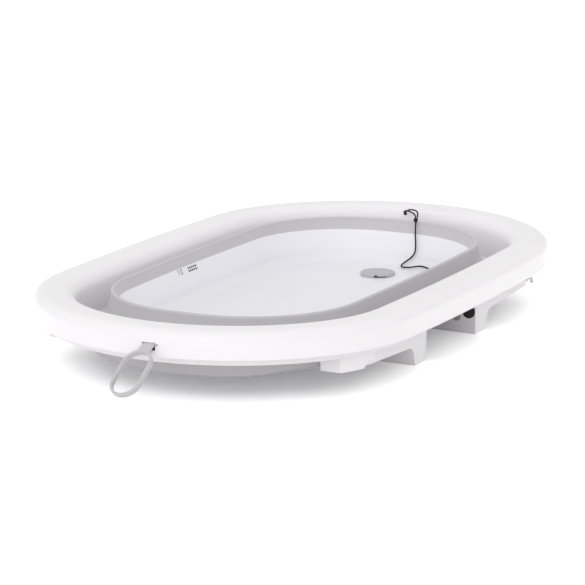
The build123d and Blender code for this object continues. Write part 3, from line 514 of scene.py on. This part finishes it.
# The drain end's arc is walked in three parts, so that the rows lie close together at the soap dish.
row_arcs = [
    (end_arc_x, 0, end_arc_radius, end_from, dish_from),
    (end_arc_x, 0, end_arc_radius, dish_from, dish_to),
    (end_arc_x, 0, end_arc_radius, dish_to, end_to),
] + rim_arcs[1:]
rim_counts = (16, 130, 16, 28, 40, 28, 90, 28, 40, 28)
rim_grid = ring_points(walk(row_arcs, rim_counts), rim_profile)
shoulder_turn = np.arctan2(rim_top - rim_bottom, rim_band - rim_crown)
shoulder_inset = rim_crown - inner_rounding * np.tan(shoulder_turn / 2)
shoulder_z = rim_top - inner_rounding


def shoulder_frame(inset, y):
    """Point on the drain end's inner shoulder, with its direction across and the way it faces. It leans by
    the arcsine of its inset past the shoulder's start over the rounding's radius."""
    lean = np.arcsin(max(inset - shoulder_inset, 0.0) / inner_rounding)
    x, _, radius = rim_arcs[0][:3]
    point = np.array(
        [
            middle_x + x + np.sqrt((radius - inset) ** 2 - y**2),
            y,
            shoulder_z + inner_rounding * np.cos(lean),
        ]
    )
    across = np.array([np.cos(lean), 0, np.sin(lean)])
    facing = np.array([-np.sin(lean), 0, np.cos(lean)])
    return point, across, facing


# The dish is a bowl pressed in against the shoulder's facing: its depth falls with a smooth step from the
# edge of an oval that follows the rim's curve.
_, _, dish_facing = shoulder_frame(dish_inset, dish_y)
from_end = rim_grid[..., :2] - [middle_x + end_arc_x, 0]
end_reach = np.linalg.norm(from_end, axis=2)
end_turn = np.arctan2(from_end[..., 1], from_end[..., 0])
across_share = (end_reach - dish_reach) / (dish_width / 2)
along_share = (dish_reach * end_turn - dish_y) / (dish_length / 2)
fall = np.clip((1 - np.hypot(across_share, along_share)) / dish_edge, 0, 1)
bowl = dish_depth * fall * fall * (3 - 2 * fall)
rim_grid[..., 0] -= bowl * dish_facing[0] * np.cos(end_turn)
rim_grid[..., 1] -= bowl * dish_facing[0] * np.sin(end_turn)
rim_grid[..., 2] -= bowl * dish_facing[2]
rim = piece_from("rim", rim_grid.reshape(-1, 3), grid_faces(*rim_grid.shape[:2]))

strap_width = 0.016
hanger_y = -0.015
slot_half = strap_width / 2 + 0.0003
slot_out, slot_in = 0.004, 0.007
slot_low, slot_high = 0.0652, 0.0742
slot = block(
    "slot",
    (middle_x - rim_length / 2 - slot_out, hanger_y - slot_half, slot_low),
    (middle_x - rim_length / 2 + slot_in, hanger_y + slot_half, slot_high),
)
hole_inset, hole_y = 0.0492, 0.024
hole_radius = 0.0022
hole_reach = 0.006
hole_point, hole_over, hole_facing = shoulder_frame(hole_inset, hole_y)
cord_hole = turned(
    "cord_hole",
    [(0, -hole_reach), (hole_radius, -hole_reach), (hole_radius, hole_reach), (0, hole_reach)],
    hole_point,
    hole_facing,
    steps=24,
)
combined(rim, "DIFFERENCE", slot, cord_hole)
finished(rim, rim_white)
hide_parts("rim_shell")
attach(rim, "rim")


# Ring under the rim, with the hinge brackets and the screws
# A white polypropylene ring closes the rim from below, held by zinc-plated screws, and its lip shows as a
# narrow strip under the skirt. Four brackets are screwed under it, each with two cheeks that hold a leg
# frame's pin.
same_point = 0.000002
flat_angle = np.radians(0.6)
edge_angle = np.radians(38.0)


def smoothed(node, bevel):
    """Copy of a CAD node with its triangles joined, flat areas made whole, edges rounded and shading
    smooth across the facets of its curves."""
    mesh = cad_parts[node].data.copy()
    mesh.name = node + "_piece"
    shape = bmesh.new()
    shape.from_mesh(mesh)
    bmesh.ops.remove_doubles(shape, verts=shape.verts, dist=same_point)
    bmesh.ops.dissolve_limit(shape, angle_limit=flat_angle, verts=shape.verts, edges=shape.edges)
    shape.to_mesh(mesh)
    shape.free()
    mesh.polygons.foreach_set("use_smooth", np.ones(len(mesh.polygons), bool))
    piece = bpy.data.objects.new(node + "_piece", mesh)
    bpy.context.scene.collection.objects.link(piece)
    if bevel:
        rounding = piece.modifiers.new("rounded_edges", "BEVEL")
        rounding.width = bevel
        rounding.segments = 2
        rounding.limit_method = "ANGLE"
        rounding.angle_limit = edge_angle
    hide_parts(node)
    return piece


ring_white = moulded(
    "ring_white",
    light=paint(0.962, 0.955, 0.96),
    dark=paint(0.945, 0.938, 0.943),
    roughness=0.42,
    spread=0.05,
    bump=0.15,
    grain_scale=900.0,
    grain_share=0.5,
)
zinc = moulded(
    "zinc",
    light=paint(0.72, 0.73, 0.75),
    dark=paint(0.60, 0.61, 0.63),
    roughness=0.34,
    spread=0.06,
    bump=0.15,
    grain_scale=2500.0,
    grain_share=0.8,
)
zinc.node_tree.nodes["Principled BSDF"].inputs["Metallic"].default_value = 1.0
ring = finished(smoothed("rim_under_ring", bevel=0.0), ring_white)
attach(ring, "rim")
for corner in ("near_left", "near_right", "far_left", "far_right"):
    bracket = finished(smoothed("hinge_bracket_" + corner, bevel=0.0004), ring_white)
    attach(bracket, "rim")
    pin = finished(smoothed("hinge_pin_" + corner, bevel=0.0003), ring_white)
    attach(pin, "rim")
for name in ("ring_screws", "bracket_screws"):
    screws = finished(smoothed(name, bevel=0.0002), zinc)
    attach(screws, "rim")


# Soft folding wall
# One band of light grey thermoplastic elastomer, moulded onto the rim's inner edge and onto the basin.
# Folded, it goes down from the rim, turns round at the bottom, rises to the crest and drops to the basin.
wall_grey = moulded(
    "wall_grey",
    light=paint(0.778, 0.771, 0.786),
    dark=paint(0.758, 0.751, 0.766),
    roughness=0.58,
    spread=0.04,
    bump=0.22,
    grain_scale=1400.0,
    grain_share=0.7,
)
wall_grey.node_tree.nodes["Principled BSDF"].inputs["Sheen Weight"].default_value = 0.15
crest_size = (0.600, 0.314, 0.492, 0.136, 4.800)  # length, width, end, corner and side radius
band_thickness = 0.0025
fold_inner_radius = 0.003
fold_outer_radius = fold_inner_radius + band_thickness
fold_bottom = 0.028
fold_z = fold_bottom + fold_outer_radius
anchor_inset = rim_band + 0.005
bead_width = 0.005
bead_height = 0.004
crest_top = 0.085
wall_counts = (110, 30, 60, 30, 110, 30, 60, 30)
wall_step = 0.003
rim_walk = walk(rim_arcs, wall_counts)

band_top = rim_band - level_wall
bend_middle = anchor_inset + fold_inner_radius
bend = np.linspace(np.pi, 2 * np.pi, 15)


def bend_skin(radius, turn):
    """Half circle of a radius round the bend's middle, in the directions given."""
    return np.stack([bend_middle + radius * np.cos(turn), fold_z + radius * np.sin(turn)], axis=1)


def straight_skin(start, end):
    """Straight line filled with points one wall_step apart."""
    return rounded_line([start, end], [0, 0], wall_step, closed=False)


anchor_profile = np.concatenate(
    [
        straight_skin((band_top, rim_bottom), (anchor_inset - band_thickness, fold_z))[:-1],
        bend_skin(fold_outer_radius, bend),
        bend_skin(fold_inner_radius, bend[::-1]),
        straight_skin((anchor_inset, fold_z), (band_top + band_thickness, rim_bottom))[1:],
    ]
)
sag = 0.0055
sag_start, sag_reach = 0.285, 0.045


def sagged(grid, share):
    """Soft wall's points lowered by sag x ease(x) x share: ease goes from 0 to 1 with a smooth step past
    the brackets towards the near end."""
    along = np.clip((middle_x - grid[..., 0] - sag_start) / sag_reach, 0, 1)
    ease = along * along * (3 - 2 * along)
    lowered = grid.copy()
    lowered[..., 2] -= sag * ease * share
    return lowered


anchor_grid = ring_points(rim_walk, anchor_profile)
anchor_share = np.clip((rim_bottom - anchor_profile[:, 1]) / (rim_bottom - fold_z), 0, 1)
anchor_grid = sagged(anchor_grid, anchor_share[None, :])
anchor = piece_from("wall_anchor", anchor_grid.reshape(-1, 3), grid_faces(*anchor_grid.shape[:2]))
finished(anchor, wall_grey, crease=60.0)
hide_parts("wall_anchor_band")
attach(anchor, "rim")

start_inset = anchor_inset + 2 * fold_inner_radius
crest_outer = (
    *(size + bead_width for size in crest_size[:2]),
    *(size + bead_width / 2 for size in crest_size[2:]),
)
crest_arcs = arcs_of(*crest_outer)


def turns_of(arcs):
    """Directions that the points of a walk round an outline face, from the first arc's start."""
    turns = [
        np.linspace(start, end, count, endpoint=False)
        for (*_, start, end), count in zip(arcs, wall_counts)
    ]
    return np.concatenate(turns)


def arcs_facing(arcs, turns):
    """Centre and radius of the arc that holds each direction, as rows."""
    first = arcs[0][3]
    starts = np.array([arc[3] for arc in arcs])
    index = np.searchsorted(starts, (turns - first) % (2 * np.pi) + first, side="right") - 1
    return np.array([arc[:3] for arc in arcs])[index]


both_turns = np.concatenate([turns_of(rim_arcs), turns_of(crest_arcs)]) % (2 * np.pi)
fold_turns = np.unique(np.round(both_turns, 6))
fold_start = arcs_facing(rim_arcs, fold_turns) - [0, 0, start_inset]
fold_end = arcs_facing(crest_arcs, fold_turns)
fold_rows = 26
fold_lift = 0.0003
rise = np.linspace(0, 1, fold_rows)
fold_share = (1 - rise) ** 2
flare = 1 - fold_share


def fold_skin(setback):
    """Skin of the folded wall: its plan goes from the bend's outline to the crest's by 1 - (1 - rise)²,
    each point to the one that faces the same way, so the flank stays smooth and flares out at its foot."""
    place = fold_start[:, None] + (fold_end - fold_start)[:, None] * flare[None, :, None]
    reach = place[..., 2] - setback
    z = fold_z + fold_lift + (crest_top - bead_height - fold_z) * rise
    return np.stack(
        [
            middle_x + place[..., 0] + reach * np.cos(fold_turns)[:, None],
            place[..., 1] + reach * np.sin(fold_turns)[:, None],
            np.broadcast_to(z, reach.shape),
        ],
        axis=2,
    )


fold_grid = np.concatenate(
    [
        sagged(fold_skin(0.0), fold_share[None, :]),
        sagged(fold_skin(band_thickness), fold_share[None, :])[:, ::-1],
    ],
    axis=1,
)
fold = piece_from("wall_fold", fold_grid.reshape(-1, 3), grid_faces(*fold_grid.shape[:2]))
finished(fold, wall_grey, crease=60.0)
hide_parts("wall_fold_band")
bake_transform(fold)

tray_size = (0.578, 0.304, 0.484, 0.128, 4.790)
tray_edge = 0.070
crest_walk = walk(arcs_of(*crest_size), wall_counts)
tray_walk = walk(arcs_of(*tray_size), wall_counts)
half_bead = bead_width / 2
bead_bottom = crest_top - bead_height
bead_turn = np.linspace(np.pi, 0, 13)
bead_profile = np.stack(
    [half_bead * np.cos(bead_turn), crest_top - half_bead + half_bead * np.sin(bead_turn)], axis=1
)
bead_points = ring_points(crest_walk, bead_profile)
outer_foot = ring_points(crest_walk, np.array([[-half_bead, bead_bottom]]))
inner_foot = ring_points(crest_walk, np.array([[half_bead - band_thickness, bead_bottom]]))
tray_outer = ring_points(tray_walk, np.array([[-band_thickness, tray_edge]]))
tray_inner = ring_points(tray_walk, np.array([[0.0, tray_edge]]))
inner_top = ring_points(crest_walk, np.array([[half_bead, bead_bottom]]))
drop = np.linspace(0, 1, 7)[None, :, None]
inner_skin = inner_top + (tray_inner - inner_top) * drop
outer_skin = tray_outer + (inner_foot - tray_outer) * drop
crest_grid = np.concatenate([outer_foot, bead_points, inner_skin, outer_skin], axis=1)
crest = piece_from("wall_crest", crest_grid.reshape(-1, 3), grid_faces(*crest_grid.shape[:2]))
finished(crest, wall_grey, crease=60.0)
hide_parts("wall_inner_band")
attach(crest, "tray")


# Basin
# A very pale polypropylene moulding with leaning walls and a rounded floor, ribbed underneath, and with
# a hole and a shallow seat for the drain near its far end.
tray_pale = moulded(
    "tray_pale",
    light=paint(0.944, 0.941, 0.958),
    dark=paint(0.929, 0.926, 0.944),
    roughness=0.33,
    spread=0.04,
    bump=0.10,
    grain_scale=800.0,
    grain_share=0.35,
)
tray_floor = 0.029
tray_wall = 0.003
tray_lean = 0.011
floor_rounding = 0.014


def basin_profile(offset):
    """Basin skin from its edge down to the floor's edge: a leaning line and a quarter round."""
    turn = np.linspace(np.pi / 2, 0, 12)
    radius = floor_rounding + offset
    centre = (tray_lean + floor_rounding, tray_floor + floor_rounding)
    bend = np.stack([centre[0] - radius * np.sin(turn), centre[1] - radius * np.cos(turn)], axis=1)
    top = np.array([[-offset, tray_edge]])
    fall = np.linspace(0, 1, 6)[:-1, None]
    return np.concatenate([top + (bend[0] - top) * fall, bend])


inner_wall = ring_points(tray_walk, basin_profile(0.0))
outer_wall = ring_points(tray_walk, basin_profile(tray_wall))
to_middle = np.linspace(0, 1, 9)[1:-1]


def floor_skin(edge):
    """Flat floor: the last outline shrunk towards the middle in equal steps."""
    middle = np.array([middle_x, 0, edge[0, 0, 2]])
    return edge + (middle - edge) * to_middle[None, :, None]


inner_floor = floor_skin(inner_wall[:, -1:])
outer_floor = floor_skin(outer_wall[:, -1:])
basin_grid = np.concatenate([inner_floor[:, ::-1], inner_wall[:, ::-1], outer_wall, outer_floor], axis=1)
poles = [[middle_x, 0, tray_floor], [middle_x, 0, tray_floor - tray_wall]]
basin_points = np.concatenate([basin_grid.reshape(-1, 3), poles])
basin = piece_from("basin", basin_points, poled_faces(*basin_grid.shape[:2]))

rib_half = 0.00125
rib_low = tray_floor - tray_wall - 0.0025
rib_high = tray_floor - tray_wall / 2
rib_reach = tray_size[0] / 2 - 0.109
rib_side = tray_size[1] / 2 - 0.047
cross_ribs = 5
cross_rib_shift = -0.0025
under_parts = []
for x in middle_x + np.linspace(-rib_reach, rib_reach, cross_ribs) + cross_rib_shift:
    under_parts.append(block("rib", (x - rib_half, -rib_side, rib_low), (x + rib_half, rib_side, rib_high)))
for y in (-rib_side / 2, rib_side / 2):
    low = (middle_x - rib_reach, y - rib_half, rib_low)
    high = (middle_x + rib_reach, y + rib_half, rib_high)
    under_parts.append(block("rib", low, high))

drain_low, drain_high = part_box("drain_flange")
drain_x, drain_y = (drain_low[0] + drain_high[0]) / 2, (drain_low[1] + drain_high[1]) / 2
drain_steps = 72
boss_radius = 0.0260
boss_low, boss_high = -0.005, -tray_wall / 2
boss_profile = [(0, boss_low), (boss_radius, boss_low), (boss_radius, boss_high), (0, boss_high)]
seat_radius, seat_z = 0.0202, -0.002
spout_radius = 0.0172
cut_reach = 0.01
seat_profile = [
    (0, -cut_reach),
    (spout_radius, -cut_reach),
    (spout_radius, seat_z),
    (seat_radius, seat_z),
    (seat_radius, cut_reach),
    (0, cut_reach),
]
drain_place = (drain_x, drain_y, tray_floor)
under_parts.append(turned("boss", boss_profile, drain_place, (0, 0, 1), drain_steps))
combined(basin, "UNION", *under_parts)
combined(basin, "DIFFERENCE", turned("seat", seat_profile, drain_place, (0, 0, 1), drain_steps))
finished(basin, tray_pale)
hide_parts("tray")
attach(basin, "tray")


# Drain fittings
# A grey plastic spout whose flange lies in the basin's seat. A lobed nut of the same grey holds it from
# below, over a washer of black rubber.
fitting_grey = moulded(
    "fitting_grey",
    light=paint(0.745, 0.74, 0.76),
    dark=paint(0.725, 0.72, 0.74),
    roughness=0.42,
    spread=0.05,
    bump=0.2,
    grain_scale=1500.0,
    grain_share=0.6,
)
seal_black = moulded(
    "seal_black",
    light=paint(0.10, 0.10, 0.105),
    dark=paint(0.07, 0.07, 0.075),
    roughness=0.55,
    spread=0.06,
    bump=0.3,
    grain_scale=1500.0,
    grain_share=0.7,
)
for name, material, slot_name in (
    ("drain_flange", fitting_grey, "grey_plastic"),
    ("drain_nut", fitting_grey, "grey_plastic"),
    ("drain_gasket", seal_black, "black_rubber"),
):
    fitting = finished(smoothed(name, bevel=0.0003), material)
    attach(fitting, "tray")


# Level mark
# A water sign and a plain number beside it, printed in dark and light grey ink straight onto the basin's
# wall, near its edge.
ink_lift = 0.00012
wall_arc = arcs_of(*tray_size)[2]


def on_wall(x, z):
    """Point on the basin's wall: the side's arc at x, drawn in by the wall's lean for its depth and by a
    hair for the ink."""
    run = tray_edge - tray_floor - floor_rounding
    reach = wall_arc[2] - tray_lean * (tray_edge - z) / run - ink_lift
    return np.stack([middle_x + x, wall_arc[1] + np.sqrt(reach**2 - (x - wall_arc[0]) ** 2), z], axis=-1)


def printed(name, lines, width, colour):
    """Flat strokes of even width along lines on the wall, each point moved half a width to both sides
    along the mean normal of its two runs."""
    points, faces = [], []
    for line in lines:
        line = np.array(line, float)
        run = np.diff(line, axis=0)
        run /= np.linalg.norm(run, axis=1)[:, None]
        before = np.concatenate([run[:1], run])
        after = np.concatenate([run, run[-1:]])
        mean = (before + after) / np.linalg.norm(before + after, axis=1)[:, None]
        side = np.stack([-mean[:, 1], mean[:, 0]], axis=1)
        spread = width / 2 / np.clip((mean * before).sum(axis=1), 0.5, 1)[:, None]
        both = np.stack([line + side * spread, line - side * spread], axis=1).reshape(-1, 2)
        at = sum(len(part) for part in points) + 2 * np.arange(len(line) - 1)
        points.append(on_wall(both[:, 0], both[:, 1]))
        faces += np.stack([at, at + 1, at + 3, at + 2], axis=1).tolist()
    piece = piece_from(name, np.concatenate(points), faces)
    if piece.data.polygons[0].normal.y > 0:
        piece.data.flip_normals()
    finished(piece, colour)
    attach(piece, "tray")


def ink(name, light, dark):
    """Dry printing ink between two near tones."""
    return moulded(
        name, light, dark, roughness=0.6, spread=0.05, bump=0.1, grain_scale=2000.0, grain_share=0.5
    )


ink_dark = ink("ink_dark", paint(0.17, 0.17, 0.18), paint(0.14, 0.14, 0.15))
ink_light = ink("ink_light", paint(0.50, 0.50, 0.52), paint(0.46, 0.46, 0.48))
wave_start, wave_step = -0.0205, 0.0029
wave_tops = (0.0668, 0.0632)
wave_half = 0.0010
wave_turns = np.arange(9)
wave_x = wave_start + wave_step * wave_turns
waves = [np.stack([wave_x, top + wave_half * (-1.0) ** wave_turns], axis=1) for top in wave_tops]
printed("level_waves", waves, width=0.0012, colour=ink_dark)
zero_x, zero_z = -0.0375, 0.0659
zero_half_width, zero_half_height = 0.0024, 0.0031
zero_turn = np.linspace(0, 2 * np.pi, 17)
zero = np.stack(
    [zero_x + zero_half_width * np.cos(zero_turn), zero_z + zero_half_height * np.sin(zero_turn)], axis=1
)
one = [(-0.0465, 0.0678), (-0.0447, 0.069), (-0.0447, 0.0628)]
printed("level_number", [one, zero], width=0.0011, colour=ink_light)


# Drain plug
# A flat grey plastic disc with a raised edge and a finger notch in it. Its short hollow stem goes down into
# the spout, with a round seal of black rubber in a groove.
plug_place = (drain_x, drain_y, tray_floor + 0.0003)
plug_radius = 0.0225
plug_height = 0.0035
plate_under = 0.0021
skirt_inside = plug_radius - 0.0018
bottom_bevel = 0.0003
top_rounding = 0.0010
recess = 0.0005
recess_from, recess_to = plug_radius - 0.0035, plug_radius - 0.0045
stem_radius, stem_bore, stem_bottom = 0.0115, 0.0090, -0.0090
groove_radius, groove_z = 0.0100, -0.0042
groove_half, groove_mouth = 0.0009, 0.0015
edge_turn = np.linspace(0, np.pi / 2, 6)
plug_edge = np.stack(
    [
        plug_radius - top_rounding * (1 - np.cos(edge_turn)),
        plug_height - top_rounding * (1 - np.sin(edge_turn)),
    ],
    axis=1,
)
plug_profile = [
    (0, 0),
    (stem_bore, 0),
    (stem_bore, stem_bottom),
    (stem_radius, stem_bottom),
    (stem_radius, groove_z - groove_mouth),
    (groove_radius, groove_z - groove_half),
    (groove_radius, groove_z + groove_half),
    (stem_radius, groove_z + groove_mouth),
    (stem_radius, plate_under),
    (skirt_inside, plate_under),
    (skirt_inside, 0),
    (plug_radius - bottom_bevel, 0),
    (plug_radius, bottom_bevel),
    *plug_edge,
    (recess_from, plug_height),
    (recess_to, plug_height - recess),
    (0, plug_height - recess),
]
plug = turned("plug", plug_profile, plug_place, (0, 0, 1), steps=96)
notch_turn = np.radians(193.0)
notch_out = (np.cos(notch_turn), np.sin(notch_turn), 0)
notch_side = (np.sin(notch_turn), -np.cos(notch_turn), 0)
notch_axes = np.array([notch_out, notch_side, (0, 0, 1)])
past_edge, past_under = 0.024, -0.001
notch = block("notch", (0.0191, -0.0048, past_under), (past_edge, 0.0, 0.0032), plug_place, notch_axes)
finger_gap = block(
    "finger_gap", (0.0120, -0.0150, past_under), (past_edge, -0.0040, 0.0014), plug_place, notch_axes
)
combined(plug, "DIFFERENCE", notch, finger_gap)
finished(plug, fitting_grey)
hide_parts("drain_plug")
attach(plug, "plug")
seal = finished(smoothed("plug_seal", bevel=0.0), seal_black)
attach(seal, "plug")


# Leg frames
# Each frame is one white moulding: two side beams that turn on the pins under the rim, joined by a
# ribbed bar that ends in two wide feet. Black rubber pads and grey caps are pressed into the feet.
leg_white = moulded(
    "leg_white",
    light=paint(0.967, 0.958, 0.964),
    dark=paint(0.95, 0.941, 0.947),
    roughness=0.40,
    spread=0.05,
    bump=0.18,
    grain_scale=1000.0,
    grain_share=0.5,
)
pad_black = moulded(
    "pad_black",
    light=paint(0.055, 0.05, 0.055),
    dark=paint(0.035, 0.032, 0.035),
    roughness=0.62,
    spread=0.06,
    bump=0.35,
    grain_scale=1800.0,
    grain_share=0.8,
)
cap_grey = moulded(
    "cap_grey",
    light=paint(0.70, 0.69, 0.66),
    dark=paint(0.66, 0.65, 0.62),
    roughness=0.5,
    spread=0.05,
    bump=0.2,
    grain_scale=1500.0,
    grain_share=0.6,
)
for end in ("near", "far"):
    frame_piece = finished(smoothed(end + "_leg_frame", bevel=0.0006), leg_white)
    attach(frame_piece, end + "_leg")
    pads = finished(smoothed(end + "_foot_pads", bevel=0.0004), pad_black)
    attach(pads, end + "_leg")
    caps = finished(smoothed(end + "_foot_caps", bevel=0.0003), cap_grey)
    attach(caps, end + "_leg")


# Hanging loop
# A soft strap of the wall's grey elastomer that ends in a long open loop. It comes out of a slot in the
# skirt, behind which its eye is held by a steel pin.
axle_inset = 0.002
axle_z = 0.0716
hanger_axle = np.array([middle_x - rim_length / 2 + axle_inset, hanger_y, axle_z])
strap_half, strap_tip_half = 0.002, 0.0012
strap_gap = 0.0002
strap_root = (-0.0022, -0.0015)
loop_wall = 0.0031
loop_depth = 0.0078
loop_width = 0.0365
loop_length = 0.062
strap_run = 0.0108
first_tilt, last_tilt = np.radians(66.0), np.radians(46.0)
lean_side = 0.12


def hang_line(along):
    """Point and direction on the loop's middle line at a length from the axle: its tilt eases from the
    first to the last over the strap's run, and it leans a little to one side."""
    along = np.asarray(along, float)
    steps = np.linspace(0, 1, 33)
    tilt = first_tilt + (last_tilt - first_tilt) * np.clip(along[..., None] * steps / strap_run, 0, 1)
    out = np.sin(tilt).mean(axis=-1) * along
    down = np.cos(tilt).mean(axis=-1) * along
    side = lean_side * np.clip(along, 0, None)
    last = tilt[..., -1]
    place = hanger_axle + np.stack([-out, side, -down], axis=-1)
    facing = np.stack([-np.cos(last), np.zeros_like(last), np.sin(last)], axis=-1)
    return place, facing


def loop_band(offset):
    """Outline of the open loop at an offset inside its edge, as rows (length from the axle, across): two
    half circles and the straight runs between them."""
    half = loop_width / 2 - offset
    start, end = strap_run + loop_width / 2, strap_run + loop_length - loop_width / 2
    turn = np.linspace(0, np.pi, 29)
    far_end = np.stack([end + half * np.sin(turn), half * np.cos(turn)], axis=1)
    near_end = np.stack([start - half * np.sin(turn), -half * np.cos(turn)], axis=1)
    run = np.linspace(0, 1, 8)[1:-1, None]
    down = near_end[-1] + (far_end[0] - near_end[-1]) * run
    up = far_end[-1] + (near_end[0] - far_end[-1]) * run
    return np.concatenate([far_end, up, near_end, down])


# The band's section is a rounded square: its half sides times ±|cos|^power and ±|sin|^power of the turn.
band_turn = np.linspace(0, 2 * np.pi, 20, endpoint=False)
band_power = 0.5
band_across = np.sign(np.cos(band_turn)) * np.abs(np.cos(band_turn)) ** band_power
band_up = np.sign(np.sin(band_turn)) * np.abs(np.sin(band_turn)) ** band_power
edge, inner = loop_band(0.0), loop_band(loop_wall)
loop_flat = (edge + inner)[:, None] / 2 + (edge - inner)[:, None] / 2 * band_across[None, :, None]
loop_place, loop_facing = hang_line(loop_flat[..., 0])
loop_points = loop_place + loop_facing * (loop_depth / 2 * band_up)[None, :, None]
loop_points[..., 1] += loop_flat[..., 1]
hanger = piece_from("hanging_loop", loop_points.reshape(-1, 3), grid_faces(*loop_points.shape[:2]))
strap_along = np.concatenate([strap_root, np.linspace(0, strap_run + loop_wall * 0.6, 14)])
strap_thick = np.full(len(strap_along), strap_half)
strap_thick[0] = strap_tip_half
strap_place, strap_facing = hang_line(strap_along)
strap_up = strap_thick[:, None] * band_up
strap_points = strap_place[:, None] + strap_facing[:, None] * strap_up[..., None]
strap_points[..., 1] += band_across * (strap_width / 2 - strap_gap)
rows, columns = strap_points.shape[:2]
strap_faces = grid_faces(rows, columns, wrap_rows=False)
strap_faces += [tuple(range(columns)), tuple(range(rows * columns - 1, (rows - 1) * columns - 1, -1))]
strap = piece_from("strap", strap_points.reshape(-1, 3), strap_faces)
combined(hanger, "UNION", strap)
finished(hanger, wall_grey, crease=40.0)
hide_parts("hanger")
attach(hanger, "hanger")
hanger_pin = finished(smoothed("hanger_pin", bevel=0.0), zinc)
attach(hanger_pin, "rim")


# Tether
# A thin braided black cord, doubled from a hole in the rim to a knot over the crest. One strand goes on
# down the basin's end wall, kinks at its foot and lies along the corner and out on the floor.
cord_black = moulded(
    "cord_black",
    light=paint(0.075, 0.07, 0.075),
    dark=paint(0.04, 0.04, 0.045),
    roughness=0.75,
    spread=0.08,
    bump=0.6,
    grain_scale=3000.0,
    grain_share=0.9,
)
cord_diameter = 0.002


def strand(name, route):
    """Round cord whose line is a smooth spline with the route's points as control points."""
    data = bpy.data.curves.new(name, "CURVE")
    data.dimensions = "3D"
    line = data.splines.new("NURBS")
    line.points.add(len(route) - 1)
    for point, place in zip(line.points, route):
        point.co = (*place, 1.0)
    line.order_u = 3
    line.use_endpoint_u = True
    line.resolution_u = 10
    data.bevel_depth = cord_diameter / 2
    data.bevel_resolution = 4
    data.use_fill_caps = True
    piece = bpy.data.objects.new(name, data)
    bpy.context.scene.collection.objects.link(piece)
    piece.data.materials.append(cord_black)
    return piece


def tub(points):
    """Points given from the middle of the rim, moved to the frame's place."""
    return [(middle_x + x, y, z) for x, y, z in points]


hole_across = np.cross(hole_facing, hole_over)
cord_spacing = 0.0023
cord_lead = 0.005


def strand_start(side):
    """Two points of a strand, inside and outside its hole in the rim."""
    base = hole_point + hole_across * side * cord_spacing / 2
    return [tuple(base + hole_facing * along) for along in (-rim_wall, cord_lead)]


cord_rest = 0.0303
long_route = strand_start(1) + tub(
    [
        (0.351, 0.0195, 0.087),
        (0.331, 0.0035, 0.0905),
        (0.311, -0.0125, 0.092),
        (0.296, -0.021, 0.0888),
        (0.285, -0.025, 0.073),
        (0.2795, -0.0285, 0.059),
        (0.275, -0.030, 0.0475),
        (0.273, -0.0235, 0.0395),
        (0.270, -0.0155, 0.0338),
        (0.2572, -0.016, 0.031),
        (0.2575, -0.0295, 0.031),
        (0.2675, -0.0405, 0.0328),
        (0.2635, -0.0525, 0.0322),
        (0.254, -0.064, cord_rest),
        (0.240, -0.074, cord_rest),
        (0.223, -0.080, cord_rest),
        (0.205, -0.080, cord_rest),
        (0.190, -0.073, cord_rest),
    ]
)
short_route = strand_start(-1) + tub(
    [
        (0.353, 0.0155, 0.0885),
        (0.334, -0.002, 0.0925),
        (0.315, -0.0155, 0.094),
        (0.2985, -0.0218, 0.091),
    ]
)
tether = strand("tether", long_route)
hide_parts("tether_cord")
tether_short = strand("tether_short", short_route)
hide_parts("tether_loop")
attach(tether_short, "rim")
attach(tether, "rim")
knots = finished(smoothed("tether_knots", bevel=0.0), cord_black)
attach(knots, "rim")
